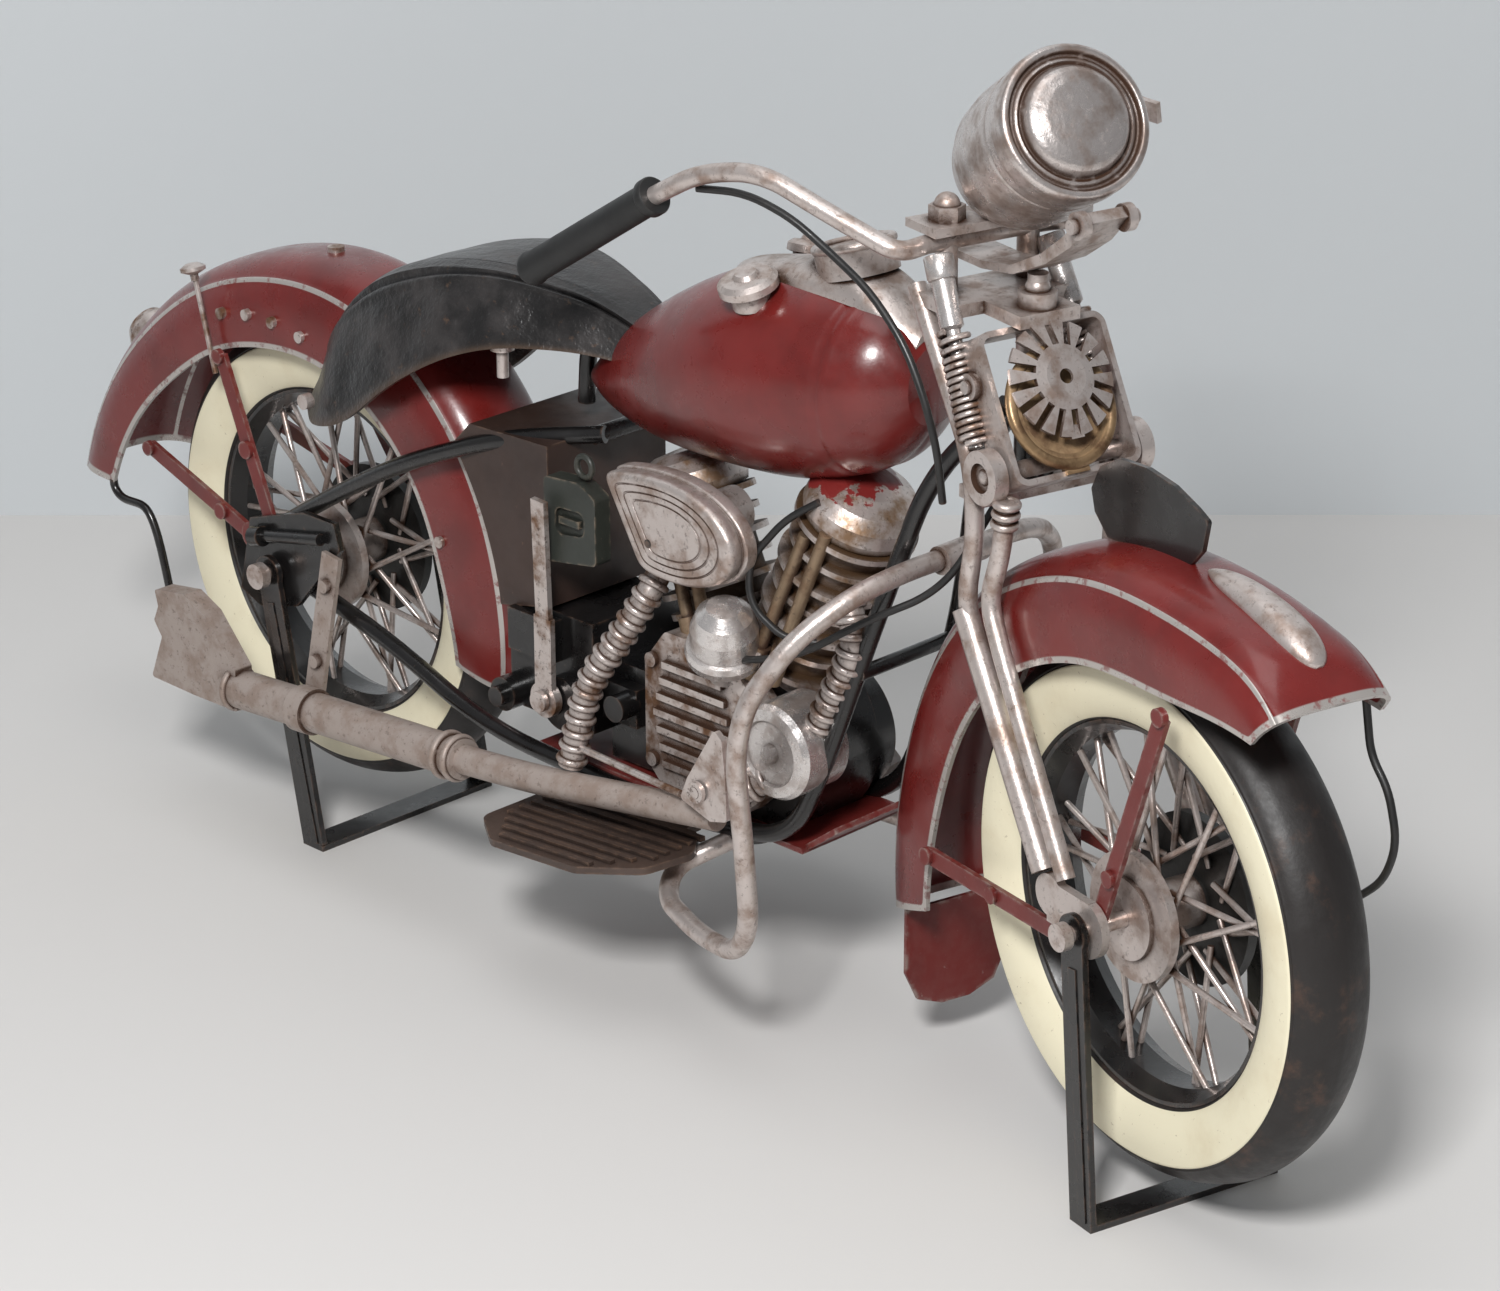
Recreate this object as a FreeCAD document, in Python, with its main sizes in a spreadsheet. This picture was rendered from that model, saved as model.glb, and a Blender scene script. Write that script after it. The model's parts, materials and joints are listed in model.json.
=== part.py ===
import FreeCAD, Part
import math
import os

# Tin display motorcycle, 1:6 size: V-twin engine, springer fork, two wire stands.
# Millimetres, +X forward, +Y left, +Z up.  While building, x = 0 is the rear axle,
# y = 0 the middle plane and z = 0 the floor under the stands.  At the end the whole
# model is moved so that the origin is the bottom centre of its bounding box.

V = FreeCAD.Vector
ROT = FreeCAD.Rotation
PLACE = FreeCAD.Placement
os.makedirs("parts", exist_ok=True)
doc = FreeCAD.newDocument("motorcycle")
sheet = doc.addObject("Spreadsheet::Sheet", "Sizes")
P = {}
row = [0]


def cell(alias, value):
    """One number of the sheet, with its alias."""
    row[0] += 1
    sheet.set("A%d" % row[0], alias)
    sheet.set("B%d" % row[0], repr(round(float(value), 5)))
    sheet.setAlias("B%d" % row[0], alias)
    P[alias] = float(value)
    return float(value)


DRIVING = [
    ("wheelbase", 289.4), ("rear_axle_height", 74.1), ("front_axle_height", 69.6),
    ("fork_turn", 13.4), ("fork_offset", 54.3), ("fork_half_width", 21.5),
    ("tyre_ring_radius", 51.7), ("tyre_section_radius", 11.0), ("rim_radius", 43.8),
    ("rim_depth", 3.2), ("rim_half_width", 7.4), ("spoke_radius", 0.75), ("spoke_count", 18),
    ("hub_radius", 6.0), ("hub_half_width", 12.0), ("flange_radius", 12.5), ("drum_radius", 20.0), ("axle_radius", 1.9), ("shaft_radius", 1.4),
    ("fit_clearance", 0.08), ("clearance", 0.5), ("sheet_metal", 1.1),
    ("rear_fender_radius", 79.0), ("front_fender_radius", 83.0), ("fender_half_width", 17.0),
    ("frame_tube_radius", 2.2), ("frame_half_width", 22.5), ("cradle_half_width", 18.0),
    ("head_radius", 4.6), ("head_bottom", 155.0), ("head_top", 180.0), ("pivot_radius", 2.3),
    ("leg_radius", 2.2), ("sleeve_radius", 2.9), ("spring_radius", 3.9), ("spring_turns", 12),
    ("bar_radius", 2.2), ("grip_radius", 3.9), ("grip_length", 49.2),
    ("lamp_radius", 17.4), ("lamp_depth", 43.0), ("lamp_height", 237.5),
    ("horn_radius", 13.2), ("bracket_width", 34.0), ("bracket_height", 35.0),
    ("tank_length", 111.0), ("tank_half_width", 23.5), ("tank_half_height", 25.5),
    ("tank_tip_x", 96.0), ("cap_radius", 7.2),
    ("saddle_half_width", 29.0), ("saddle_length", 109.0), ("saddle_thickness", 2.2),
    ("engine_x", 157.0), ("engine_z", 66.0), ("bank_angle", 24.5),
    ("fin_radius", 15.0), ("fin_count", 7), ("fin_thickness", 1.5),
    ("case_radius", 24.0), ("generator_radius", 11.8),
    ("muffler_radius", 5.2), ("pipe_radius", 3.7), ("header_radius", 3.1),
    ("board_length", 60.0), ("board_width", 33.5), ("board_thickness", 1.8),
    ("crash_radius", 2.4), ("stand_strip_width", 8.0), ("stand_strip_thickness", 1.6),
    ("front_stand_half_width", 25.4), ("rear_stand_half_width", 29.2),
    ("front_stand_reach", 6.5), ("rear_stand_reach", 14.0),
    ("kick_length", 54.0), ("flap_length", 27.0), ("strut_width", 4.2), ("strut_thickness", 1.3),
    ("rivet_radius", 1.5), ("cable_radius", 0.9),
]
for alias, value in DRIVING:
    cell(alias, value)

NODES = {}
AY = V(0, 1, 0)
AX = V(1, 0, 0)
AZ = V(0, 0, 1)
# The steering pivot stands where the turned fork's middle plane meets the middle plane.
TURN = -P["fork_turn"]
PIVOT_X = P["wheelbase"] - P["fork_offset"] * math.cos(math.radians(TURN))
STEER = PLACE(V(PIVOT_X, 0, 0), ROT(AZ, TURN))
HERE = PLACE()


def bind(obj, prop, value):
    """Ties a size of an object to a cell: an alias, or a number that gets its own cell."""
    if not isinstance(value, str):
        alias = "%s_%s" % (obj.Name.lower(), prop.lower().replace(".", "_"))
        cell(alias, value)
        value = alias
    obj.setExpression(prop, "Sizes.%s" % value)


def val(v):
    return P[v] if isinstance(v, str) else v


def cyl(name, radius, height, base, direction=AZ):
    o = doc.addObject("Part::Cylinder", name)
    bind(o, "Radius", radius)
    bind(o, "Height", height)
    o.Placement = PLACE(base, ROT(AZ, direction))
    return o


def rod(name, radius, a, b):
    return cyl(name, radius, (b - a).Length, a, b - a)


def cone(name, r1, r2, height, base, direction=AZ):
    o = doc.addObject("Part::Cone", name)
    bind(o, "Radius1", r1)
    bind(o, "Radius2", r2)
    bind(o, "Height", height)
    o.Placement = PLACE(base, ROT(AZ, direction))
    return o


def ball(name, radius, centre):
    o = doc.addObject("Part::Sphere", name)
    bind(o, "Radius", radius)
    o.Placement = PLACE(centre, ROT())
    return o


def torus(name, ring, section, centre, direction=AZ):
    o = doc.addObject("Part::Torus", name)
    bind(o, "Radius1", ring)
    bind(o, "Radius2", section)
    o.Placement = PLACE(centre, ROT(AZ, direction))
    return o


def box(name, lx, ly, lz, centre, rotation=None):
    o = doc.addObject("Part::Box", name)
    bind(o, "Length", lx)
    bind(o, "Width", ly)
    bind(o, "Height", lz)
    rotation = rotation or ROT()
    half = rotation.multVec(V(val(lx) / 2, val(ly) / 2, val(lz) / 2))
    o.Placement = PLACE(centre - half, rotation)
    return o


def bar(name, a, b, width, thickness, side=AY):
    """A flat bar from a to b, width across, thickness along side."""
    z = (b - a).normalize()
    x = side.cross(z).normalize()
    y = z.cross(x)
    r = ROT(x, y, z)
    return box(name, width, thickness, (b - a).Length, (a + b) * 0.5, r)


def feature(name, shape):
    o = doc.addObject("Part::Feature", name)
    o.Shape = shape
    return o


def fuse(name, parts):
    o = doc.addObject("Part::MultiFuse", name)
    o.Shapes = parts
    return o


def cut(name, base, tool):
    o = doc.addObject("Part::Cut", name)
    o.Base = base
    o.Tool = tool
    return o


def group(name, parts):
    o = doc.addObject("Part::Compound", name)
    o.Links = parts
    return o


def node(name, obj, frame=HERE):
    """Names a finished sub-part and puts it in its assembly's frame."""
    obj.Label = name
    obj.Placement = frame.multiply(obj.Placement)
    NODES[name] = obj
    return obj


def route(points, ratio=0.45, radii=None):
    """Straight runs joined by tangent arcs, as one wire."""
    edges = []
    start = points[0]
    for i in range(1, len(points) - 1):
        a = points[i] - points[i - 1]
        b = points[i + 1] - points[i]
        turn = a.getAngle(b)
        trim = ratio * min(a.Length, b.Length)
        ua = V(a).normalize()
        ub = V(b).normalize()
        p1 = points[i] - ua * trim
        p2 = points[i] + ub * trim
        radius = trim / math.tan(turn / 2)
        out = (ub - ua).normalize()
        mid = points[i] + out * (radius / math.cos(turn / 2) - radius)
        if (p1 - start).Length > 1e-6:
            edges.append(Part.LineSegment(start, p1).toShape())
        edges.append(Part.Arc(p1, mid, p2).toShape())
        start = p2
    edges.append(Part.LineSegment(start, points[-1]).toShape())
    return Part.Wire(edges)


def tube(points, radius, ratio=0.45):
    wire = route(points, ratio)
    first = (points[1] - points[0])
    ring = Part.Wire([Part.Circle(points[0], first, radius).toShape()])
    shell = wire.makePipeShell([ring], True, False)
    return shell


def vecs(rows):
    return [V(*r) for r in rows]


def mirror_y(points):
    return [V(p.x, -p.y, p.z) for p in points]


def sketch(body, name, plane, points, circles=()):
    """A closed polygon (and circles) whose corners are tied to the sheet."""
    s = body.newObject("Sketcher::SketchObject", name)
    role = [f for f in body.Origin.OriginFeatures if f.Role == plane][0]
    s.AttachmentSupport = [(role, "")]
    s.MapMode = "FlatFace"
    n = len(points)
    for i in range(n):
        a = points[i]
        b = points[(i + 1) % n]
        s.addGeometry(Part.LineSegment(V(a[0], a[1], 0), V(b[0], b[1], 0)), False)
    import Sketcher
    for i in range(n):
        s.addConstraint(Sketcher.Constraint("Coincident", i, 2, (i + 1) % n, 1))
    for i, (x, y) in enumerate(points):
        for axis, value, other in (("DistanceX", x, -2), ("DistanceY", y, -1)):
            if abs(value) < 1e-7:
                s.addConstraint(Sketcher.Constraint("PointOnObject", i, 1, other))
            else:
                k = s.addConstraint(Sketcher.Constraint(axis, -1, 1, i, 1, value))
                label = "p%d%s" % (i, axis[-1].lower())
                s.renameConstraint(k, label)
                alias = "%s_%s" % (name.lower(), label)
                cell(alias, value)
                s.setExpression("Constraints.%s" % label, "Sizes.%s" % alias)
    for x, y, r in circles:
        g = s.addGeometry(Part.Circle(V(x, y, 0), V(0, 0, 1), r), False)
        for axis, value, other in (("DistanceX", x, -2), ("DistanceY", y, -1)):
            if abs(value) < 1e-7:
                s.addConstraint(Sketcher.Constraint("PointOnObject", g, 3, other))
            else:
                s.addConstraint(Sketcher.Constraint(axis, -1, 1, g, 3, value))
        k = s.addConstraint(Sketcher.Constraint("Radius", g, r))
        label = "hole%d" % g
        s.renameConstraint(k, label)
        alias = "%s_%s" % (name.lower(), label)
        cell(alias, r)
        s.setExpression("Constraints.%s" % label, "Sizes.%s" % alias)
    return s


def revolved(name, points):
    """A PartDesign body of revolution about its own Z axis; points are (radius, height)."""
    body = doc.addObject("PartDesign::Body", name)
    s = sketch(body, name + "Profile", "XZ_Plane", points)
    r = body.newObject("PartDesign::Revolution", name + "Turned")
    r.Profile = s
    r.ReferenceAxis = (s, ["V_Axis"])
    r.Angle = 360
    body.Tip = r
    return body


def plate(name, points, thickness, plane="XZ_Plane", circles=(), round_to=0.0):
    """A PartDesign pad of a flat outline, half its thickness to each side."""
    body = doc.addObject("PartDesign::Body", name)
    s = sketch(body, name + "Outline", plane, points, circles)
    p = body.newObject("PartDesign::Pad", name + "Pad")
    p.Profile = s
    bind(p, "Length", thickness)
    p.Midplane = True
    body.Tip = p
    if round_to:
        doc.recompute()
        axis = {"XZ_Plane": AY, "XY_Plane": AZ, "YZ_Plane": AX}[plane]
        names = []
        for i, e in enumerate(p.Shape.Edges):
            if e.Curve.TypeId == "Part::GeomLine" and abs(abs(e.Curve.Direction.dot(axis)) - 1) < 1e-6:
                names.append("Edge%d" % (i + 1))
        f = body.newObject("PartDesign::Fillet", name + "Round")
        f.Base = (p, names)
        bind(f, "Radius", round_to)
        body.Tip = f
    return body


def spline_loft(sections, closed_ends=True):
    """A smooth skin over closed sections, each a list of point rows joined at corners."""
    wires = []
    for rows in sections:
        edges = []
        for pts in rows:
            if len(pts) == 2:
                edges.append(Part.LineSegment(pts[0], pts[1]).toShape())
            else:
                c = Part.BSplineCurve()
                c.interpolate(pts)
                edges.append(c.toShape())
        wires.append(Part.Wire(edges))
    solid = Part.makeLoft(wires, True, False)
    if solid.Volume < 0:
        solid.reverse()
    return solid


def arch(half_width, top, edge, thickness, power, frame, count=8):
    """A closed arched strip: outer curve, edge, inner curve, edge.
    frame maps (across, up) to space.  power shapes the shoulders."""
    def curve(hw, high, low, sign):
        pts = []
        for i in range(-count, count + 1):
            t = i / count * math.pi / 2
            c = math.sin(t)
            s = math.cos(t)
            x = hw * math.copysign(abs(c) ** (2.0 / power), c)
            y = low + (high - low) * abs(s) ** (2.0 / power)
            pts.append(frame(x, y))
        return pts if sign > 0 else pts[::-1]
    outer = curve(half_width, top, edge, 1)
    inner = curve(half_width - thickness, top - thickness, edge, -1)
    return [outer, [outer[-1], inner[0]], inner, [inner[-1], outer[0]]]


def fender(axle_z, axle_x, stations):
    """Stations are (angle in degrees from +X, crest radius, edge radius, half width)."""
    sections = []
    for angle, crest, edge, hw in stations:
        a = math.radians(angle)
        ux = math.cos(a)
        uz = math.sin(a)

        def frame(across, up, ux=ux, uz=uz):
            return V(axle_x + up * ux, across, axle_z + up * uz)
        sections.append(arch(hw, crest, edge, P["sheet_metal"], 3.2, frame))
    return spline_loft(sections)


def ribbed(points, radius, rib, pitch, ratio=0.45):
    """A bent pipe with raised rings along it."""
    wire = route(points, ratio)
    pipe = tube(points, radius, ratio)
    rings = []
    length = wire.Length
    n = max(2, int((length - pitch) / pitch))
    pts = wire.discretize(Number=n * 4 + 1)
    for i in range(n):
        p = pts[4 * i + 2]
        q = pts[4 * i + 3]
        rings.append(Part.makeTorus(radius, rib, p, q - p))
    return pipe.fuse(rings)


# ---------------------------------------------------------------- wheels
def wheel(prefix, axle_x, axle_z, frame, drum):
    """Tyre, rim, crossing wire spokes and hub, built about the Y axis of the axle."""
    centre = V(axle_x, 0, axle_z)
    flat = PLACE(centre, ROT(AZ, V(0, -1, 0)))
    n = prefix.capitalize()
    ring = torus(n + "Ring", "tyre_ring_radius", "tyre_section_radius", V(0, 0, 0))
    bore = cyl(n + "Bore", P["rim_radius"] + P["fit_clearance"], 4 * P["tyre_section_radius"],
               V(0, 0, -2 * P["tyre_section_radius"]))
    tyre = cut(n + "Tyre", ring, bore)
    tyre.Placement = flat
    node(prefix + "_tyre", tyre, frame)
    r = P["rim_radius"]
    w = P["rim_half_width"]
    d = P["rim_depth"]
    rim = revolved(n + "Rim", [
        (r, -w), (r, w), (r - 1.0, w), (r - d, w * 0.45), (r - d, -w * 0.45), (r - 1.0, -w)])
    rim.Placement = flat
    node(prefix + "_rim", rim, frame)
    hub_r = P["hub_radius"]
    hw = P["hub_half_width"]
    fl = P["flange_radius"]
    bore_r = P["axle_radius"] + P["fit_clearance"]
    fx = hw - 4.0
    profile = [(bore_r, -hw), (bore_r, hw)]
    for radius, y in drum:
        profile.append((radius, y))
    profile += [(fl, fx - 1.2), (hub_r, fx - 1.2), (hub_r, 1.0 - fx), (P["drum_radius"], 1.0 - fx), (P["drum_radius"], -fx - 1.6),
                (hub_r + 3.0, -fx - 2.2), (hub_r + 1.0, -hw)]
    hub = revolved(n + "Hub", profile)
    hub.Placement = flat
    wires = []
    count = int(P["spoke_count"])
    for side in (-1, 1):
        for k in range(count):
            base = 360.0 * (k + 0.25 * (side > 0)) / count
            lean = 34.0 if k % 2 else -34.0
            offset = 0.9 if k % 2 else -0.9
            a = math.radians(base)
            b = math.radians(base + lean)
            p = V(fl * 0.93 * math.cos(a), fl * 0.93 * math.sin(a), side * (fx - 1.9 + offset * 0.6))
            q = V((r - d + 0.3) * math.cos(b), (r - d + 0.3) * math.sin(b), side * (1.6 + offset))
            wires.append(Part.makeCylinder(P["spoke_radius"], (q - p).Length, p, q - p))
    spokes = feature(n + "Spokes", wires[0].multiFuse(wires[1:]) if len(wires) > 1 else wires[0])
    spokes.Placement = flat
    node(prefix + "_hub_spokes", fuse(n + "HubSpokes", [hub, spokes]), frame)


# Hub faces: a small stepped silver face on the right and a wide drum on the left.  The
# profile runs from the right end of the hub to its flange.
HW = P["hub_half_width"]
DRUM = [(P["hub_radius"] + 3.5, HW), (P["hub_radius"] + 3.5, HW - 1.2),
        (P["flange_radius"] + 2.5, HW - 1.8), (P["flange_radius"] + 2.5, HW - 4.0)]
wheel("front", P["fork_offset"], P["front_axle_height"], STEER, DRUM)
wheel("rear", 0.0, P["rear_axle_height"], HERE, DRUM)

# ---------------------------------------------------------------- main frame
FH = P["frame_half_width"]
CH = P["cradle_half_width"]
TR = P["frame_tube_radius"]
AXZ = P["rear_axle_height"]
BOTTOM = 49.0
tubes = []
for side in (1, -1):
    upper = vecs([(-2, side * FH, AXZ + 11), (20, side * FH, AXZ + 25), (47, side * FH, AXZ + 40.5),
                  (80, side * (FH - 3), AXZ + 54.5), (106, side * 8, AXZ + 59)])
    lower = vecs([(-2, side * FH, AXZ - 1), (40, side * FH, AXZ - 10), (74, side * (FH - 1), BOTTOM + 2),
                  (110, side * CH, BOTTOM - 2), (150, side * CH, BOTTOM - 2), (179, side * CH, BOTTOM + 3),
                  (190, side * CH, BOTTOM + 26), (201, side * (CH - 2), 107),
                  (213, side * 8, 150), (PIVOT_X - 6, side * 2.5, 170)])
    tubes.append(tube(upper, TR))
    tubes.append(tube(lower, TR))
post = vecs([(106, 0, BOTTOM), (106, 0, AXZ + 61)])
bridge_low = tube(vecs([(106, -CH, BOTTOM - 2), (106, CH, BOTTOM - 2)]), TR * 0.9)
bridge_up = tube(vecs([(104, -10, AXZ + 58.6), (104, 10, AXZ + 58.6)]), TR)
bridge_top = tube(vecs([(199.5, -CH + 1, 100), (199.5, CH - 1, 100)]), TR * 0.8)
head = Part.makeCylinder(P["head_radius"], P["head_top"] - P["head_bottom"], V(PIVOT_X, 0, P["head_bottom"]))
bore = Part.makeCylinder(P["pivot_radius"] + P["fit_clearance"], P["head_top"], V(PIVOT_X, 0, 100))
solid = tubes[0].fuse(tubes[1:] + [bridge_low, bridge_up, bridge_top, head])
node("main_frame", feature("MainFrame", solid.cut(bore)))

plates = []
for side, tag in ((-1, "R"), (1, "L")):
    p = plate("AxlePlate" + tag, [(-15, AXZ - 9), (-7, AXZ - 12), (8, AXZ - 8), (26, AXZ + 12), (24, AXZ + 19),
                                  (12, AXZ + 19), (-10, AXZ + 12)], 1.8,
              circles=[(0, AXZ, P["axle_radius"] + P["fit_clearance"])])
    p.Placement = PLACE(V(0, side * (FH + TR + 1.2), 0), ROT())
    bolt = rod("AdjustBolt" + tag, 1.6, V(-3, side * (FH + TR + 3.2), AXZ + 9), V(20, side * (FH + TR + 3.2), AXZ + 14))
    nut = rod("AdjustNut" + tag, 2.7, V(-7, side * (FH + TR + 3.6), AXZ + 8), V(-3, side * (FH + TR + 3.6), AXZ + 9))
    plates += [p, bolt, nut]
node("axle_plates", group("AxlePlates", [fuse("AxlePlatesR", plates[:3]), fuse("AxlePlatesL", plates[3:])]))
RS = P["rear_stand_half_width"]
SS = P["front_stand_half_width"]
ST = P["stand_strip_thickness"]
pin = rod("RearPin", "axle_radius", V(0, -RS - ST - 1.2, AXZ), V(0, RS + ST + 1.2, AXZ))
caps = [rod("RearNut" + t, 3.4, V(0, s * (RS + ST + 0.6), AXZ), V(0, s * (RS + ST + 3.2), AXZ))
        for s, t in ((-1, "R"), (1, "L"))]
node("rear_axle", fuse("RearAxle", [pin] + caps))

# ---------------------------------------------------------------- stands
def stand(name, axle, reach, half, frame):
    """A flat strip bent to a U: two legs from the axle and a foot bar on the floor."""
    w = P["stand_strip_width"]
    t = P["stand_strip_thickness"]
    hole = P["axle_radius"] + P["fit_clearance"]
    legs = []
    for s, tag in ((-1, "R"), (1, "L")):
        a = V(axle.x, s * half, axle.z)
        b = V(axle.x + reach, s * half, t * 0.7)
        legs.append(bar(name + "Leg" + tag, a, b, w, t))
        legs.append(cyl(name + "Eye" + tag, w / 2 + 0.6, t, V(a.x, a.y - t / 2, a.z), AY))
        legs.append(bar(name + "Rib" + tag, V(a.x + 0.9, a.y + s * 0.55 * t, a.z - w),
                        V(b.x + 0.9, b.y + s * 0.55 * t, t), w * 0.34, t * 0.3))
    foot = box(name + "Foot", w, 2 * half + t, t, V(axle.x + reach, 0, t / 2))
    whole = fuse(name + "Whole", legs + [foot])
    drill = cyl(name + "Hole", hole, 2 * half + 4 * t, V(axle.x, -half - 2 * t, axle.z), AY)
    return cut(name, whole, drill)


node("rear_stand", stand("RearStand", V(0, 0, AXZ), P["rear_stand_reach"], RS, HERE))
FO = P["fork_offset"]
FZ = P["front_axle_height"]
node("front_stand", stand("FrontStand", V(FO, 0, FZ), P["front_stand_reach"], SS, STEER), STEER)

# ---------------------------------------------------------------- rear fender and its fittings
RF = P["rear_fender_radius"]
FW = P["fender_half_width"]
node("rear_fender", feature("RearFender", fender(AXZ, 0.0, [
    (-14, RF - 1, 58, FW - 2), (5, RF, 55, FW), (30, RF + 0.5, 54, FW), (55, RF + 1.5, 55, FW),
    (80, RF + 1.5, 56, FW), (105, RF + 1, 57, FW), (125, RF + 3, 60, FW), (143, RF + 7, 64, FW),
    (160, RF + 13, 71, FW + 0.5), (179, RF + 21, 80, FW + 1)])))
SW = P["strut_width"]
SK = P["strut_thickness"]
struts = []
for s, tag in ((-1, "R"), (1, "L")):
    y = s * (FW + SK + 1.8)
    side = V(0, 1, 0)
    a1 = V(-29, s * (FW + 1.6), AXZ + 50)
    b1 = V(-3, y + s * 3.4, AXZ + 6)
    a2 = V(-60, s * (FW + 2.4), AXZ + 17)
    b2 = V(-3, y + s * 3.4, AXZ + 2)
    struts.append(fuse("Struts" + tag, [
        bar("StrutUp" + tag, a1, b1, SW, SK), bar("StrutBack" + tag, a2, b2, SW, SK),
        cyl("StrutRivetA" + tag, 2.0, 1.6, a1 + V(0, s * 0.2, 0), V(0, s, 0)),
        cyl("StrutRivetB" + tag, 2.0, 1.6, a2 + V(0, s * 0.2, 0), V(0, s, 0)),
        cyl("StrutRivetC" + tag, 2.4, 1.6, (a1 + b1) * 0.5 + V(0, s * 0.2, 0), V(0, s, 0)),
        cyl("StrutRivetD" + tag, 2.2, 1.6, (a2 * 0.42 + b2 * 0.58) + V(0, s * 0.2, 0), V(0, s, 0)),
        cyl("StrutRivetE" + tag, 3.6, 1.8, V(-14, y + s * 1.8, AXZ + 5), V(0, s, 0))]))
node("rear_fender_struts", group("RearStruts", struts))
rivets = []
for s in (-1, 1):
    for angle, radius in ((98, 64), (107, 66), (116, 68), (88, 62), (20, 58)):
        a = math.radians(angle)
        c = V(radius * math.cos(a), s * (FW - 0.6), AXZ + radius * math.sin(a))
        rivets.append(Part.makeCylinder(P["rivet_radius"], 1.7, c, V(0, s, 0)))
top = math.radians(92)
rivets.append(Part.makeCylinder(2.2, 1.8, V((RF + 0.6) * math.cos(top), 0, AXZ + (RF + 0.6) * math.sin(top)),
                                V(math.cos(top), 0, math.sin(top))))
rivet_set = feature("FenderRivets", Part.makeCompound(rivets))
ta = math.radians(154)
tdir = V(math.cos(ta), 0, math.sin(ta))
lamp_at = V(0, 0, AXZ) + tdir * (RF + 10.2)
lamp = revolved("TailLamp", [(0, 0), (7.4, 0), (7.0, 3.0), (5.6, 5.6), (4.2, 6.2), (3.7, 5.6), (0, 5.6)])
lamp.Placement = PLACE(lamp_at, ROT(AZ, tdir))
ky = -(FW + 2.6)
knob = revolved("KnobHead", [(0, 0), (1.1, 0), (1.1, 1.6), (3.4, 2.6), (3.4, 3.6), (1.6, 4.6), (0, 4.8)])
knob.Placement = PLACE(V(-37, ky, AXZ + 69), ROT(AZ, V(-0.25, 0, 1)))
stem = rod("KnobStem", 0.7, V(-30.5, ky, AXZ + 45), V(-37, ky, AXZ + 69.6))
node("fender_fittings", group("FenderFittings", [rivet_set, lamp, fuse("FenderKnob", [stem, knob])]))
clip = [bar("ClipA", V(-88, -10, 71.5), V(-80, -10, 67), 3.2, 1.2), bar("ClipB", V(-80.6, -10, 68), V(-69, -10, 44), 3.2, 1.2)]
node("rear_clip", fuse("RearClip", clip))

# ---------------------------------------------------------------- tank, dash, saddle
TL = P["tank_length"]
TH = P["tank_half_height"]
TW = P["tank_half_width"]
TX = P["tank_tip_x"]


def ellipse_ring(x, zc, hh, hw, n=24):
    pts = []
    for i in range(n + 1):
        t = 2 * math.pi * i / n
        c = math.cos(t)
        s = math.sin(t)
        pts.append(V(x, hw * c, zc + hh * math.copysign(abs(s) ** 0.92, s)))
    pts[-1] = pts[0]
    return pts


def closed_spline(points):
    c = Part.BSplineCurve()
    c.interpolate(Points=points[:-1], PeriodicFlag=True)
    return Part.Wire([c.toShape()])


def tank_rings():
    table = [(0.0, 144.5, 0.10, 0.13), (0.05, 146.2, 0.27, 0.28), (0.13, 149.0, 0.48, 0.47),
             (0.26, 153.2, 0.72, 0.70), (0.42, 158.0, 0.91, 0.90), (0.58, 161.4, 1.0, 1.0),
             (0.72, 163.2, 0.98, 0.98), (0.86, 165.4, 0.85, 0.87), (0.95, 167.0, 0.64, 0.66),
             (1.0, 168.2, 0.38, 0.4)]
    return [ellipse_ring(TX + TL * t, zc, TH * a, TW * b) for t, zc, a, b in table]


tank = Part.makeLoft([closed_spline(r) for r in tank_rings()], True, False)
node("fuel_tank", feature("FuelTank", tank))


def cap(name, x, y, z, radius, neck):
    return revolved(name, [(0, -4.0), (neck, -4.0), (neck, 0), (radius, 0.4), (radius, 2.2), (radius - 1.2, 3.2),
                           (radius * 0.45, 3.4), (radius * 0.35, 4.4), (0, 4.4)])


CR = P["cap_radius"]
cap_r = cap("CapRight", 0, 0, 0, CR, CR * 0.68)
cap_r.Placement = PLACE(V(163, -15.5, 184.5), ROT(AZ, V(-0.05, -0.30, 1)))
cap_l = cap("CapLeft", 0, 0, 0, CR * 0.72, CR * 0.5)
cap_l.Placement = PLACE(V(152, 15, 183.5), ROT(AZ, V(-0.05, 0.30, 1)))
dash_rows = [(146, 184.0, 2.0, 3.0), (154, 187.0, 3.2, 7.5), (168, 190.0, 5.0, 10.0), (182, 192.5, 7.0, 10.5),
             (196, 188.5, 6.5, 9.0), (206, 181.5, 5.0, 6.0)]
dash = Part.makeLoft([closed_spline(ellipse_ring(x, z - h, h, w)) for x, z, h, w in dash_rows], True, False)
dash = dash.cut(tank)
dash = max(dash.Solids, key=lambda q: q.Volume)
dial = Part.makeCylinder(9.6, 7.0, V(183, 0, 189), V(-0.28, 0, 1))
ring = Part.makeTorus(9.0, 1.1, V(183, 0, 189) + V(-0.28, 0, 1).normalize() * 7.0, V(-0.28, 0, 1))
node("tank_fittings", group("TankFittings", [cap_r, cap_l, feature("DashPanel", dash.fuse([dial, ring]))]))

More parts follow.
